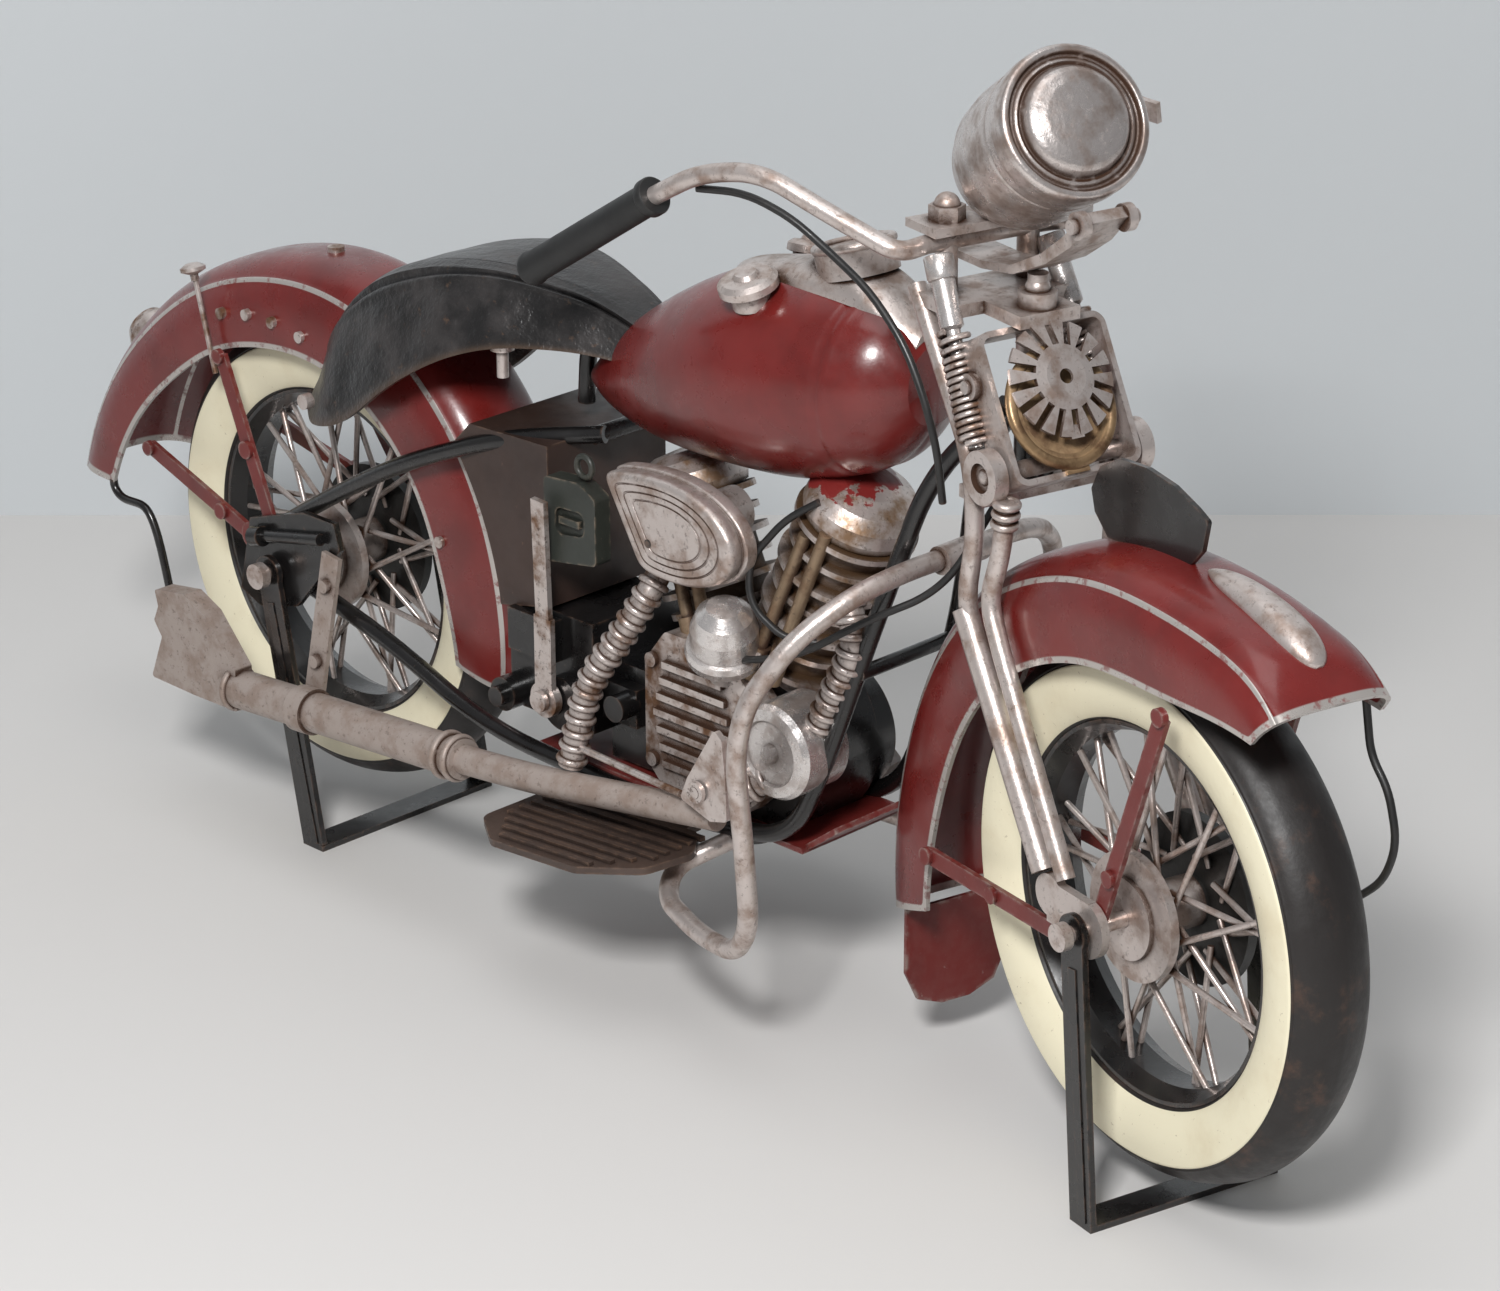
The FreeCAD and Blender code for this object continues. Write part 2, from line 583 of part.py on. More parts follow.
SH = P["saddle_half_width"]
SL = P["saddle_length"]
sections = []
for t, top, hw, edge, power in [(0.0, 141.0, 0.62, 128, 1.6), (0.09, 150, 0.92, 118.5, 1.45), (0.21, 158.5, 1.0, 122, 1.6),
                                (0.35, 165.5, 0.99, 133, 1.85), (0.50, 169.8, 0.92, 144.0, 2.2), (0.64, 171.2, 0.76, 151.0, 2.4),
                                (0.78, 170.0, 0.58, 154, 2.6), (0.91, 167.0, 0.46, 154.5, 2.6), (1.0, 163.0, 0.36, 154.0, 2.4)]:
    def seat(across, up, x=6 + SL * t):
        return V(x, across, up)
    sections.append(arch(SH * hw, top, edge, P["saddle_thickness"], power, seat))
node("saddle", feature("Saddle", spline_loft(sections)))
studs = []
for s, tag in ((-1, "R"), (1, "L")):
    studs.append(rod("SaddleStud" + tag, 1.5, V(80, s * 17.5, 144), V(80, s * 17.5, 157)))
    studs.append(rod("SaddleWasher" + tag, 3.0, V(80, s * 17.5, 151), V(80, s * 17.5, 152.5)))
    studs.append(rod("SaddleRivet" + tag, 2.0, V(17, s * 27, 125), V(17, s * 29.5, 125)))
node("saddle_studs", group("SaddleStuds", [fuse("StudR", studs[:2]), studs[2], fuse("StudL", studs[3:5]), studs[5]]))
node("saddle_bracket", feature("SaddleBracket", tube(vecs([(104, 0, 165), (97, 0, 160), (92, 0, 150), (91, 0, 136)]), 2.2)))

# ---------------------------------------------------------------- engine
EX = P["engine_x"]
EZ = P["engine_z"]
CASE = P["case_radius"]
case = [cyl("CaseDrum", "case_radius", 26.0, V(EX - 3, -13, EZ), AY),
        box("CaseRear", 40.0, 24.0, 26.0, V(EX - 26, 0, EZ - 2)),
        cyl("PrimaryCover", 17.0, 6.0, V(EX + 4, 13, EZ), AY), box("PrimaryCase", 56.0, 6.0, 26.0, V(EX - 28, 16, EZ))]
node("crankcase", fuse("Crankcase", case))
gear = [box("GearBlock", 30.0, 30.0, 29.0, V(97, -4, 73.5)),
        cyl("GearBolt", 4.4, 5.0, V(84, -19, 63), V(0, -1, 0)), cyl("GearBoltHead", 2.6, 7.5, V(84, -19, 63), V(0, -1, 0)),
        cyl("GearCap", 5.2, 7.0, V(89, -13, 87), AZ), cyl("GearCapTop", 3.6, 10.0, V(89, -13, 87), AZ),
        cyl("GearScrew", 3.4, 6.0, V(121, -15, 69), V(0, -1, 0)), box("GearEar", 16.0, 6.0, 10.0, V(116, -13, 68)),
        cyl("GearFoot", 7.0, 4.0, V(104, -19, 66), V(0, -1, 0)), box("GearStep", 16.0, 5.0, 11.0, V(93, -20, 81))]
node("gearbox", fuse("Gearbox", gear))


def cylinder(name, tilt, top):
    """Finned barrel and domed head on an axis leaning forward by tilt degrees."""
    base = V(EX - 3, 0, EZ)
    d = V(math.sin(math.radians(tilt)), 0, math.cos(math.radians(tilt)))
    parts = [rod(name + "Barrel", P["fin_radius"] * 0.76, base + d * 22, base + d * (top - 12))]
    count = int(P["fin_count"])
    for i in range(count):
        s = 28 + (top - 14 - 28) * i / (count - 1)
        parts.append(rod(name + "Fin%d" % i, P["fin_radius"] - (0.8 if i % 2 else 0),
                         base + d * s, base + d * (s + P["fin_thickness"])))
    dome = revolved(name + "Dome", [(0, 0), (13.6, 0), (14.2, 2), (13.8, 5.5), (11.5, 8.6), (7, 10.8), (0, 11.6)])
    dome.Placement = PLACE(base + d * (top - 12), ROT(AZ, d))
    parts.append(dome)
    return fuse(name, parts)


front_cyl = cylinder("FrontCylinder", P["bank_angle"], 82.0)
rear_cyl = cylinder("RearCylinder", -P["bank_angle"], 73.0)
node("cylinders", group("Cylinders", [front_cyl, rear_cyl]))
rods = []
for i, (x0, x1, z1, y0, y1) in enumerate([(146, 131, 127, -17, -14), (152, 139, 124, -18, -13.5), (165, 179, 128, -18, -13.5),
                                          (171, 186, 130, -17, -14)]):
    a = V(x0, y0, 90)
    b = V(x1, y1, z1)
    rods.append(fuse("Pushrod%d" % i, [rod("PushTube%d" % i, 1.6, a, b), rod("PushCup%d" % i, 2.5, a, a + (b - a) * 0.22)]))
node("pushrod_tubes", group("PushrodTubes", rods))
TC = -18.0
timing = [plate("TimingPlate", [(133, 60), (138, 55), (166, 55), (172, 61), (172, 84), (160, 95), (140, 95), (133, 86)],
                7.0, round_to=2.0)]
timing[0].Placement = PLACE(V(0, TC, 0), ROT())
for i in range(7):
    timing.append(box("TimingRib%d" % i, 26.0 - 2.0 * abs(i - 3), 1.6, 1.7, V(150, TC - 4.0, 61 + 4.3 * i)))
for i, (x, z) in enumerate([(136, 61), (152, 58), (150, 93), (136, 87), (168, 62)]):
    timing.append(cyl("TimingRivet%d" % i, 1.8, 1.6, V(x, TC - 3.2, z), V(0, -1, 0)))
node("timing_cover", fuse("TimingCover", timing))
GR = P["generator_radius"]
gen = revolved("Generator", [(0, 0), (GR, 0), (GR, 13), (GR - 1.0, 14.5), (GR * 0.70, 14.9), (GR * 0.66, 14.0), (2.4, 14.0), (2.0, 15.6), (0, 15.6)])
gen.Placement = PLACE(V(EX + 23, -12, 77), ROT(AZ, V(0, -1, 0)))
node("generator", gen)
dist = revolved("Distributor", [(0, 0), (4.0, 0), (4.0, 6), (9.2, 7), (9.6, 9), (9.2, 10.6), (8.4, 11), (8.2, 16),
                                (6.8, 20), (4.2, 22.6), (0, 23.6)])
dist.Placement = PLACE(V(158.5, -19.5, 88.5), ROT(AZ, V(0.28, -0.30, 1)))
node("distributor", dist)


def air_outline(size):
    """The air cleaner's leaning D: a straight back edge and a rounded nose, scaled about its middle."""
    corners = [(127, 136), (176, 141), (174.5, 112.8), (140.5, 112.3)]
    points = []
    for i in range(19):
        u = i / 18.0
        w = [(1 - u) ** 3, 3 * u * (1 - u) ** 2, 3 * u * u * (1 - u), u ** 3]
        points.append(tuple(sum(wk * c[a] for wk, c in zip(w, corners)) for a in (0, 1)))
    mx, mz = 150.0, 125.0
    return [(mx + size * (x - mx), mz + size * (z - mz)) for x, z in points]


air = [plate("AirCleaner", air_outline(1.0), 6.4), plate("AirFaceA", air_outline(0.955), 8.0),
       plate("AirFaceB", air_outline(0.72), 8.9), plate("AirFaceC", air_outline(0.50), 9.8)]
for layer in air:
    layer.Placement = PLACE(V(0, -26.5, 0), ROT())
neck = cyl("AirNeck", 6.0, 16.0, V(150, -23, 125), AY)
nub = cyl("AirScrew", 1.8, 1.4, V(141, -30.0, 119.5), V(0, -1, 0))
node("air_cleaner", fuse("AirCleanerWhole", air + [neck, nub]))
box_plate = plate("RelayBox", [(102, 104), (120, 107), (120, 124), (114, 127), (102, 126)], 5.0, round_to=1.4)
box_plate.Placement = PLACE(V(0, -22.5, 0), ROT())
window = plate("RelayWindow", [(106, 112), (116, 113.5), (116, 119.5), (106, 119)], 3.0, round_to=2.0)
window.Placement = PLACE(V(0, -25.5, 0), ROT())
eye = torus("RelayEye", 2.6, 0.8, V(114, -22.5, 130.5), AY)
latch = box("RelayLatch", 7.0, 1.4, 1.8, V(111, -24.6, 116.2))
node("relay_box", fuse("RelayWhole", [cut("RelayCut", box_plate, window), latch, eye]))
tank_cut = cyl("PanelCurve", RF + 1.6, 60.0, V(0, -30, AXZ), AY)
side = plate("SidePanelPlate", [(60, 120), (70, 130), (98, 131), (98, 89), (76, 84), (66, 84)], 2 * FW + 6)
node("side_panel", cut("SidePanel", side, tank_cut))
skid = [box("SkidPlate", 92.0, 2 * CH - 1.0, 1.4, V(136, 0, BOTTOM + 0.4)),
        bar("SkidLip", V(181, 0, BOTTOM + 0.4), V(191, 0, BOTTOM + 8), 1.4, 2 * CH - 5)]
node("skid_plate", fuse("SkidWhole", skid))

# ---------------------------------------------------------------- exhaust
HR = P["header_radius"]
EY = -37.7
front_header = ribbed(vecs([(EX + 37, -14.5, 117), (EX + 41.5, -17, 106), (EX + 35, -18, 92), (EX + 29.5, -19, 80), (EX + 22.5, -21.5, 71),
                            (EX + 13, -27, 63.5), (EX + 3, -32, 60)]), HR, 0.9, 3.4)
rear_header = ribbed(vecs([(134, -14, 112), (136, -21, 106), (131, -26, 94), (123, -31.0, 80), (120, -34.5, 58)]), HR, 0.9, 3.4)
node("header_pipes", feature("HeaderPipes", Part.makeCompound([front_header, rear_header])))
PIPE_Z = 53.2
pipe = tube(vecs([(84.5, EY, 49.6), (112, EY, PIPE_Z - 0.6), (140, EY + 2.0, PIPE_Z + 3.0), (170, EY + 4.0, PIPE_Z + 7.0)]), P["pipe_radius"])
node("exhaust_pipe", feature("ExhaustPipe", pipe))
MR = P["muffler_radius"]
m0 = V(-6.0, EY, 42.6)
m1 = V(84.5, EY, 49.6)
md = (m1 - m0).normalize()
muffler = [rod("MufflerBody", MR, m0, m1), torus("MufflerRingA", MR, 1.0, m0 + md * 1.5, md),
           torus("MufflerRingB", MR, 1.0, m1 - md * 2, md), torus("MufflerRingC", MR, 1.2, m1 - md * 6, md),
           rod("MufflerCollar", MR + 0.9, m0 + md * 27, m0 + md * 33)]
tail = plate("FishTail", [(-2, 49.2), (-6, 53.4), (-13.6, 61.5), (-21.7, 65.0), (-34.6, 63.0), (-33.4, 58.5), (-35.5, 54.0), (-32.5, 50.0),
                          (-34.8, 44.5), (-37.8, 37.2), (-20, 37.0), (-2, 37.4)], 5.6, round_to=0.8)
tail.Placement = PLACE(V(0, EY, 0), ROT())
node("muffler", fuse("Muffler", muffler + [tail]))
bracket = [bar("MufflerStrap", V(19.5, -31.6, 46), V(24.5, -28.0, AXZ + 11), 6.5, 1.4),
           cyl("StrapRivetA", 1.7, 2.4, V(20.9, -30.6, 56), V(0, -1, 0)),
           cyl("StrapRivetB", 1.7, 2.4, V(23.6, -28.6, 77), V(0, -1, 0))]
node("muffler_bracket", fuse("MufflerBracket", bracket))

# ---------------------------------------------------------------- footboards and crash bar
BL = P["board_length"]
BW = P["board_width"]
boards = []
for s, tag in ((-1, "R"), (1, "L")):
    x0 = 99.0
    y0 = CH + 2.8
    outline = [(x0, s * y0), (x0 + BL * 0.86, s * y0), (x0 + BL, s * (y0 + BW * 0.3)), (x0 + BL * 0.96, s * (y0 + BW * 0.72)),
               (x0 + BL * 0.72, s * (y0 + BW)), (x0 + BL * 0.22, s * (y0 + BW)), (x0, s * (y0 + BW * 0.72))]
    if s < 0:
        outline = outline[::-1]
    p = plate("Board" + tag, outline, "board_thickness", plane="XY_Plane", round_to=5.0)
    p.Placement = PLACE(V(0, 0, 0), ROT())
    ribs = []
    for i in range(8):
        y = y0 + 3.0 + (BW - 6.0) * i / 7
        inset = 4.0 + 10.0 * max(0.0, (i - 4) / 3.0)
        ribs.append(box("BoardRib%s%d" % (tag, i), BL - 2 * inset, 1.6, 1.2,
                        V(x0 + BL / 2, s * y, P["board_thickness"] / 2 + 0.3)))
    arm = box("BoardArm" + tag, 9.0, 8.0, 2.0, V(x0 + BL * 0.7, s * (y0 - 1.5), -0.4))
    b = fuse("BoardWhole" + tag, [p, arm] + ribs)
    b.Placement = PLACE(V(x0, 0, 40.4), ROT(AY, -4.5)).multiply(PLACE(V(-x0, 0, 0), ROT()))
    boards.append(b)
node("footboards", group("Footboards", boards))
crash = []
for s in (-1, 1):
    points = [(215, 0, 129.5), (214, 15, 129.5), (211.5, 31, 127), (205, 44, 118), (198, 52.5, 103), (196.5, 54.5, 90), (199, 54, 66),
              (197, 50.5, 46), (188, 46, 34.5), (171, 41.5, 32.5), (155, 36.5, 34.5), (150, 29, 39), (159, 18, 45.5)]
    crash.append(tube([V(x, s * y, z) for x, y, z in points], P["crash_radius"]))
clamp = Part.makeCylinder(P["crash_radius"] + 1.0, 14, V(215, -7, 129.5), AY)
node("crash_bar", feature("CrashBar", crash[0].fuse([crash[1], clamp])))

# ---------------------------------------------------------------- kick starter, pedal, cables
KX = 101.0
KZ = 67.0
KL = P["kick_length"]
kick = [cyl("KickBoss", 4.6, 2.2, V(KX, -23.6, KZ), V(0, -1, 0)),
        bar("KickArmLow", V(KX, -24.9, KZ), V(KX + 1.5, -26.2, KZ + KL * 0.42), 6.0, 1.5),
        bar("KickArmUp", V(KX + 1.4, -26.1, KZ + KL * 0.40), V(KX + 3.0, -28.4, KZ + KL), 4.6, 1.5)]
kick_hole = cyl("KickHole", P["shaft_radius"] + P["fit_clearance"], 8.0, V(KX, -21, KZ), V(0, -1, 0))
node("kick_starter", cut("KickStarter", fuse("KickWhole", kick), kick_hole))
kick_shaft = [cyl("KickShaft", "shaft_radius", 6.4, V(KX, -21.0, KZ), V(0, -1, 0)),
              cyl("KickNut", 2.7, 1.5, V(KX, -25.8 - P["clearance"], KZ), V(0, -1, 0))]
BX = 171.0
BZ = 69.3
BY = -39.2
pedal = plate("PedalPlate", [(BX - 6.5, BZ - 3.8), (BX + 3.5, BZ - 6.8), (BX + 9, BZ - 5.3), (BX + 8.5, BZ + 6), (BX + 7.5, BZ + 14.8),
                             (BX + 5, BZ + 17), (BX - 4, BZ + 2.2)], 1.6, round_to=1.0)
pedal.Placement = PLACE(V(0, BY - 0.8, 0), ROT())
boss = cyl("PedalBoss", 2.6, 2.4, V(BX, BY + 0.8, BZ), V(0, -1, 0))
pedal_hole = cyl("PedalHole", P["shaft_radius"] + P["fit_clearance"], 6.0, V(BX, BY + 2, BZ), V(0, -1, 0))
node("brake_pedal", cut("BrakePedal", fuse("PedalWhole", [pedal, boss]), pedal_hole))
pedal_pin = [cyl("PedalPin", "shaft_radius", -17.5 - BY + 3.4, V(BX, -17.5, BZ), V(0, -1, 0)),
             cyl("PedalRivet", 2.6, 1.2, V(BX, BY - 1.6 - P["clearance"], BZ), V(0, -1, 0))]
CBR = P["cable_radius"]
leads = [tube(vecs([(183, -13, 137), (176, -17, 132), (170, -23, 122), (172, -25, 112), (180, -22, 105), (186, -17, 104)]), CBR),
         tube(vecs([(229, -4, 146), (222, -13, 126), (207, -24, 117), (190, -25, 105), (176, -24, 99), (166, -24, 96)]), CBR)]
node("cables", feature("Cables", Part.makeCompound(leads)))
node("brake_linkage", group("BrakeLinkage", [fuse("PedalPinWhole", pedal_pin), fuse("KickShaftWhole", kick_shaft),
                                              rod("BrakeRod", 0.9, V(121, -34, 63.5), V(161.5, -37.5, 64.5))]))

# ---------------------------------------------------------------- fork (in the turned frame of the steering)
LH = P["fork_half_width"]
LR = P["leg_radius"]
SL_R = P["sleeve_radius"]
TOPIN = 6.5
MIDIN = 3.5
rigid = []
spring_legs = []
springs = []


def splayed(s, rows):
    """Points (forward, inset from the leg plane, height) on side s."""
    return [V(u, s * (LH - inset), z) for u, inset, z in rows]


for s, tag in ((-1, "R"), (1, "L")):
    y = s * LH
    rigid.append(tube(splayed(s, [(-25, TOPIN, 194), (1.5, MIDIN, 162), (5.0, MIDIN - 0.8, 146), (2.8, 1.8, 129), (8.5, 1.2, 118)]), LR))
    a = V(2.8, s * (LH - 1.6), 127)
    b = V(37.4, y, 77)
    rigid.append(Part.makeCylinder(SL_R, (b - a).Length, a, b - a))
    boss = Part.makeCylinder(6.2, 3.6, V(9.8, s * (LH - 3.6), 160.3), V(0, s, 0))
    dish = Part.makeCylinder(3.4, 2.0, V(9.8, s * (LH - 1.2), 160.3), V(0, s, 0))
    hub = Part.makeSphere(2.4, V(9.8, s * (LH - 2.6), 160.3))
    rigid.append(boss.cut(dish).fuse(hub))
    lug = Part.makeCylinder(6.6, 2.2, V(FO, y - s * 1.1, FZ), V(0, s, 0))
    lug2 = Part.makeCylinder(5.0, 2.2, V(FO - 13.5, y - s * 1.1, FZ + 3.0), V(0, s, 0))
    web = Part.makeBox(15, 2.2, 10, V(FO - 14, y - 1.1, FZ - 3.4))
    hole = Part.makeCylinder(P["axle_radius"] + P["fit_clearance"], 8, V(FO, y - 4, FZ), AY)
    rigid.append(lug.fuse([lug2, web]).cut(hole))
    spring_legs.append(tube(splayed(s, [(15.4, MIDIN, 156), (14.2, 3.0, 143), (11.2, 2.0, 132), (17.0, 1.2, 123), (45.6, 0, 78)]), LR))
    for k in range(3):
        spring_legs.append(Part.makeTorus(LR + 0.2, 0.9, V(15.4 - 0.3 * k, s * (LH - MIDIN), 155.4 - 2.4 * k), V(0.12, 0, 1)))
    a = V(-17.0, s * (LH - TOPIN), 203)
    b = V(3.6, s * (LH - MIDIN), 164.5)
    d = (b - a).normalize()
    L = (b - a).Length
    core = Part.makeCylinder(1.5, L, a, d)
    caps2 = [Part.makeCylinder(3.4, 5.5, a, d), Part.makeCylinder(2.7, 11.0, a + d * 5.5, d)]
    turns = int(P["spring_turns"])
    r = P["spring_radius"] - 0.8
    lo = L * 0.40
    step = (L - 2.0 - lo) / turns
    coils = [Part.makeTorus(r, 0.8 if i > 3 else 1.0, a + d * (lo + step * (i + 0.5)), d) for i in range(turns)]
    tube_core = Part.makeCylinder(r, L - 2.0 - lo, a + d * lo, d)
    springs.append(core.fuse(caps2 + coils + [tube_core]))
fork = rigid[0].fuse(rigid[1:4])
fork_l = rigid[4].fuse(rigid[5:8])
bar_low = Part.makeCylinder(2.0, 2 * (LH - 3), V(9.8, -LH + 3, 160.3), AY)
node("fork_rigid_legs", feature("ForkRigid", fork.fuse([fork_l, bar_low])), STEER)
half = len(spring_legs) // 2
node("fork_spring_legs", feature("ForkSpringLegs", Part.makeCompound([
    spring_legs[0].fuse(spring_legs[1:half]), spring_legs[half].fuse(spring_legs[half + 1:])])), STEER)
node("fork_springs", feature("ForkSprings", Part.makeCompound(springs)), STEER)
gap = P["clearance"]
INW = LH - MIDIN
low = Part.makeBox(9.0, 2 * INW, 3.0, V(-3, -INW, P["head_bottom"] - gap - 3.0))
low = low.fuse(Part.makeCylinder(6.0, 3.0, V(0, 0, P["head_bottom"] - gap - 3.0)))
up = Part.makeBox(17.0, 2 * (LH - TOPIN) + 3, 3.0, V(-26.0, -(LH - TOPIN) - 1.5, 190.5))
up = up.fuse(Part.makeBox(17, 16, 3.0, V(-12, -8, 190.5)))
pin = Part.makeCylinder(P["pivot_radius"], 201 - P["head_bottom"] + 4, V(0, 0, P["head_bottom"] - 4))
nut = Part.makeCylinder(4.4, 3.6, V(0, 0, 193.5)).fuse(Part.makeSphere(2.8, V(0, 0, 197.6)))
collar = Part.makeCylinder(4.6, 190.5 - P["head_top"] - gap, V(0, 0, P["head_top"] + gap))
crown = low.fuse([up, pin, nut, collar])
clamp_plate = Part.makeBox(12.0, 36, 2.0, V(-25.5, -18, 208.0))
for s in (-1, 1):
    riser = Part.makeCylinder(2.6, 19, V(-19.5, s * 11, 192), V(0, 0, 1))
    hexa = Part.makePolygon([V(-19.5 + 4.2 * math.cos(math.radians(60 * k)), s * 11 + 4.2 * math.sin(math.radians(60 * k)), 210.0)
                             for k in range(7)])
    hexa = Part.Face(hexa).extrude(V(0, 0, 3.4))
    acorn = hexa.fuse(Part.makeSphere(3.0, V(-19.5, s * 11, 213.2)))
    crown = crown.fuse([riser, acorn])
node("fork_crown", feature("ForkCrown", crown.fuse(clamp_plate)), STEER)
pin = rod("FrontPin", "axle_radius", V(FO, -SS - ST - 1.2, FZ), V(FO, SS + ST + 1.2, FZ))
ends = [rod("FrontNut" + t, 3.2, V(FO, s * (SS + ST + 0.6), FZ), V(FO, s * (SS + ST + 3.0), FZ)) for s, t in ((-1, "R"), (1, "L"))]
node("front_axle", fuse("FrontAxle", [pin] + ends), STEER)

# ---------------------------------------------------------------- handlebar
right = vecs([(-19.5, 0, 205.4), (-19.0, -16, 205.4), (-17.5, -25, 204.8), (-31.5, -33.5, 211.4), (-46.5, -42.5, 219.0), (-61, -49.2, 216.3),
              (-73.8, -53.5, 208.6), (-83, -55.9, 202.6)])
left = mirror_y(right)
bars = tube(right[::-1][:-1] + left[1:], P["bar_radius"])
node("handlebar", feature("Handlebar", bars), STEER)
grips = []
GD = V(-40.1, -10.5, -26.5).normalize()
for s in (-1, 1):
    g = V(-73.8, s * 53.5, 208.6)
    d = V(GD.x, -s * GD.y, GD.z)
    sleeve = Part.makeCylinder(P["grip_radius"], P["grip_length"], g, d)
    collar = Part.makeCylinder(P["grip_radius"] + 0.6, 2.4, g, d)
    end = Part.makeCylinder(P["grip_radius"] + 0.3, 1.6, g + d * (P["grip_length"] - 1.6), d)
    hole = Part.makeCylinder(P["bar_radius"] + 0.05, 12.4, g - d * 1.0, d)
    grips.append(sleeve.fuse([collar, end]).cut(hole))
node("grips", feature("Grips", Part.makeCompound(grips)), STEER)
lever = [bar("LeverA", V(-49, 43.5, 220.5), V(-49, 50.5, 231), 6.0, 1.4, V(1, 0, 0)),
         bar("LeverB", V(-50, 46, 224.5), V(-25, 50.5, 223.6), 5.0, 1.4, V(0, 1, 0.2)),
         bar("LeverC", V(-44, 47, 223.8), V(-78, 60, 214), 4.0, 1.2, V(0, 0.3, 1)),
         cyl("LeverPivot", 3.0, 3.0, V(-48, 45, 221.0), V(0, 0, 1))]
node("hand_lever", fuse("HandLever", lever), STEER)

# ---------------------------------------------------------------- headlight, horn
LT = math.radians(30.0)
LY = math.radians(-10.7)
lamp_frame = PLACE(V(11.6, 0, P["lamp_height"]), ROT(AZ, V(math.cos(LT) * math.cos(LY), math.cos(LT) * math.sin(LY), math.sin(LT))))
R = P["lamp_radius"]
D = P["lamp_depth"]
shell = revolved("HeadlightShell", [(0, -D), (R * 0.34, -D + 0.5), (R * 0.60, -D + 2.4), (R * 0.80, -D + 6.4), (R * 0.92, -D + 13.0),
                                    (R * 0.97, -D + 21.0), (R * 0.975, -9.0), (R * 0.975, -5.0), (R, -4.6), (R, 0.4),
                                    (R * 0.97, 1.5), (R * 0.89, 1.8), (R * 0.86, 0.2), (0, 0.2)])
face = revolved("HeadlightFace", [(0, 0.3), (R * 0.84, 0.3), (R * 0.82, 1.2), (R * 0.74, 0.9), (R * 0.70, 2.6), (R * 0.62, 3.7),
                                  (R * 0.45, 4.7), (R * 0.25, 5.3), (0, 5.5)])
shell.Placement = lamp_frame
face.Placement = lamp_frame
node("headlight", group("Headlight", [shell, face]), STEER)
cradle = plate("LampCradle", [(-26, 199.2), (-14, 199.2), (-2, 201.0), (10, 206.5), (19, 212.5), (25.8, 219.5), (23.4, 221.2),
                              (16.8, 214.6), (8.5, 208.5), (-3, 202.8), (-14, 201.0), (-26, 201.0)], 11.0)
ears = [cyl("LampEar" + t, 3.1, 2.2, V(23.3, s * 5.0, 218.6), V(0, s, 0)) for s, t in ((-1, "R"), (1, "L"))]
screws = [cyl("LampScrew" + t, 1.6, 3.8, V(23.3, s * 5.0, 218.6), V(0, s, 0)) for s, t in ((-1, "R"), (1, "L"))]
node("headlight_bracket", fuse("HeadlightBracket", [cradle] + ears + screws), STEER)
BWD = P["bracket_width"]
BH = P["bracket_height"]
t = 1.4
RAKE = ROT(AY, -30.0)
BC = V(8.2, 0, 174.2)


def raked(shape):
    """Moves a shape modelled about the horn bracket's centre onto the leaning bracket."""
    shape.Placement = PLACE(BC, RAKE).multiply(shape.Placement)
    return shape


outer = Part.makeBox(8.5, BWD, BH, V(-7.0, -BWD / 2, -BH / 2))
inner = Part.makeBox(10.5, BWD - 2 * t, BH - 2 * t, V(-8.0, -BWD / 2 + t, -BH / 2 + t))
rounds = [e for e in outer.Edges if abs(abs(e.Curve.Direction.x) - 1) < 1e-6]
holes = [e for e in inner.Edges if abs(abs(e.Curve.Direction.x) - 1) < 1e-6]
frame_strip = outer.makeFillet(3.4, rounds).cut(inner.makeFillet(2.0, holes))
nuts = []
for s in (-1, 1):
    nuts.append(Part.makeCylinder(3.0, 2.4, V(-9.4 + 5.0, s * (BWD / 2 - 0.6), 7.2), V(0, s, 0)))
    nuts.append(Part.makeCylinder(1.5, 3.4, V(-9.4 + 5.0, s * (BWD / 2 - 0.6), 7.2), V(0, s, 0)))
node("horn_bracket", feature("HornBracket", raked(frame_strip.fuse(nuts))), STEER)
HRR = P["horn_radius"]
horn_body = Part.makeCylinder(HRR * 0.98, 2.6, V(0.2, -1.2, -2.2), AX)
rim_ring = Part.makeTorus(HRR - 0.4, 1.3, V(2.4, -1.2, -2.2), AX)
mouth = Part.makeCylinder(HRR * 0.80, 2.8, V(1.2, -1.2, -2.2), AX)
stem = Part.makeBox(2.0, 6.0, 5.0, V(0.4, -4.2, -BH / 2 + 0.4))
horn = horn_body.fuse([rim_ring, stem]).cut(mouth)
disc = Part.makeCylinder(HRR, 0.9, V(0, 0, 0), AZ).fuse(Part.makeCone(HRR, 5.0, 2.0, V(0, 0, 0.9), AZ))
disc = disc.cut(Part.makeCone(HRR - 0.8, 4.2, 2.0, V(0, 0, -0.01), AZ))
slots = [Part.makeCylinder(1.7, 6, V(0, 0, -1), AZ)]
for k in range(16):
    b = Part.makeBox(HRR * 0.50, 1.7, 6, V(HRR * 0.56, -0.85, -1))
    b.rotate(V(0, 0, 0), AZ, 360.0 * k / 16)
    slots.append(b)
for slot in slots:
    disc = disc.cut(slot)
grille = disc.fuse([Part.makeBox(3.0, 3.4, 0.9, V(HRR - 2.6, -1.7, 0)), Part.makeCylinder(1.1, 4.0, V(HRR - 1.2, 0, -3.4), AZ)])
grille.Placement = PLACE(V(4.9, -1.2, 3.6), ROT(V(0, 0, -1), V(0, 1, 0), AX))
node("horn", group("Horn", [feature("HornCup", raked(horn)), feature("HornGrille", raked(grille))]), STEER)

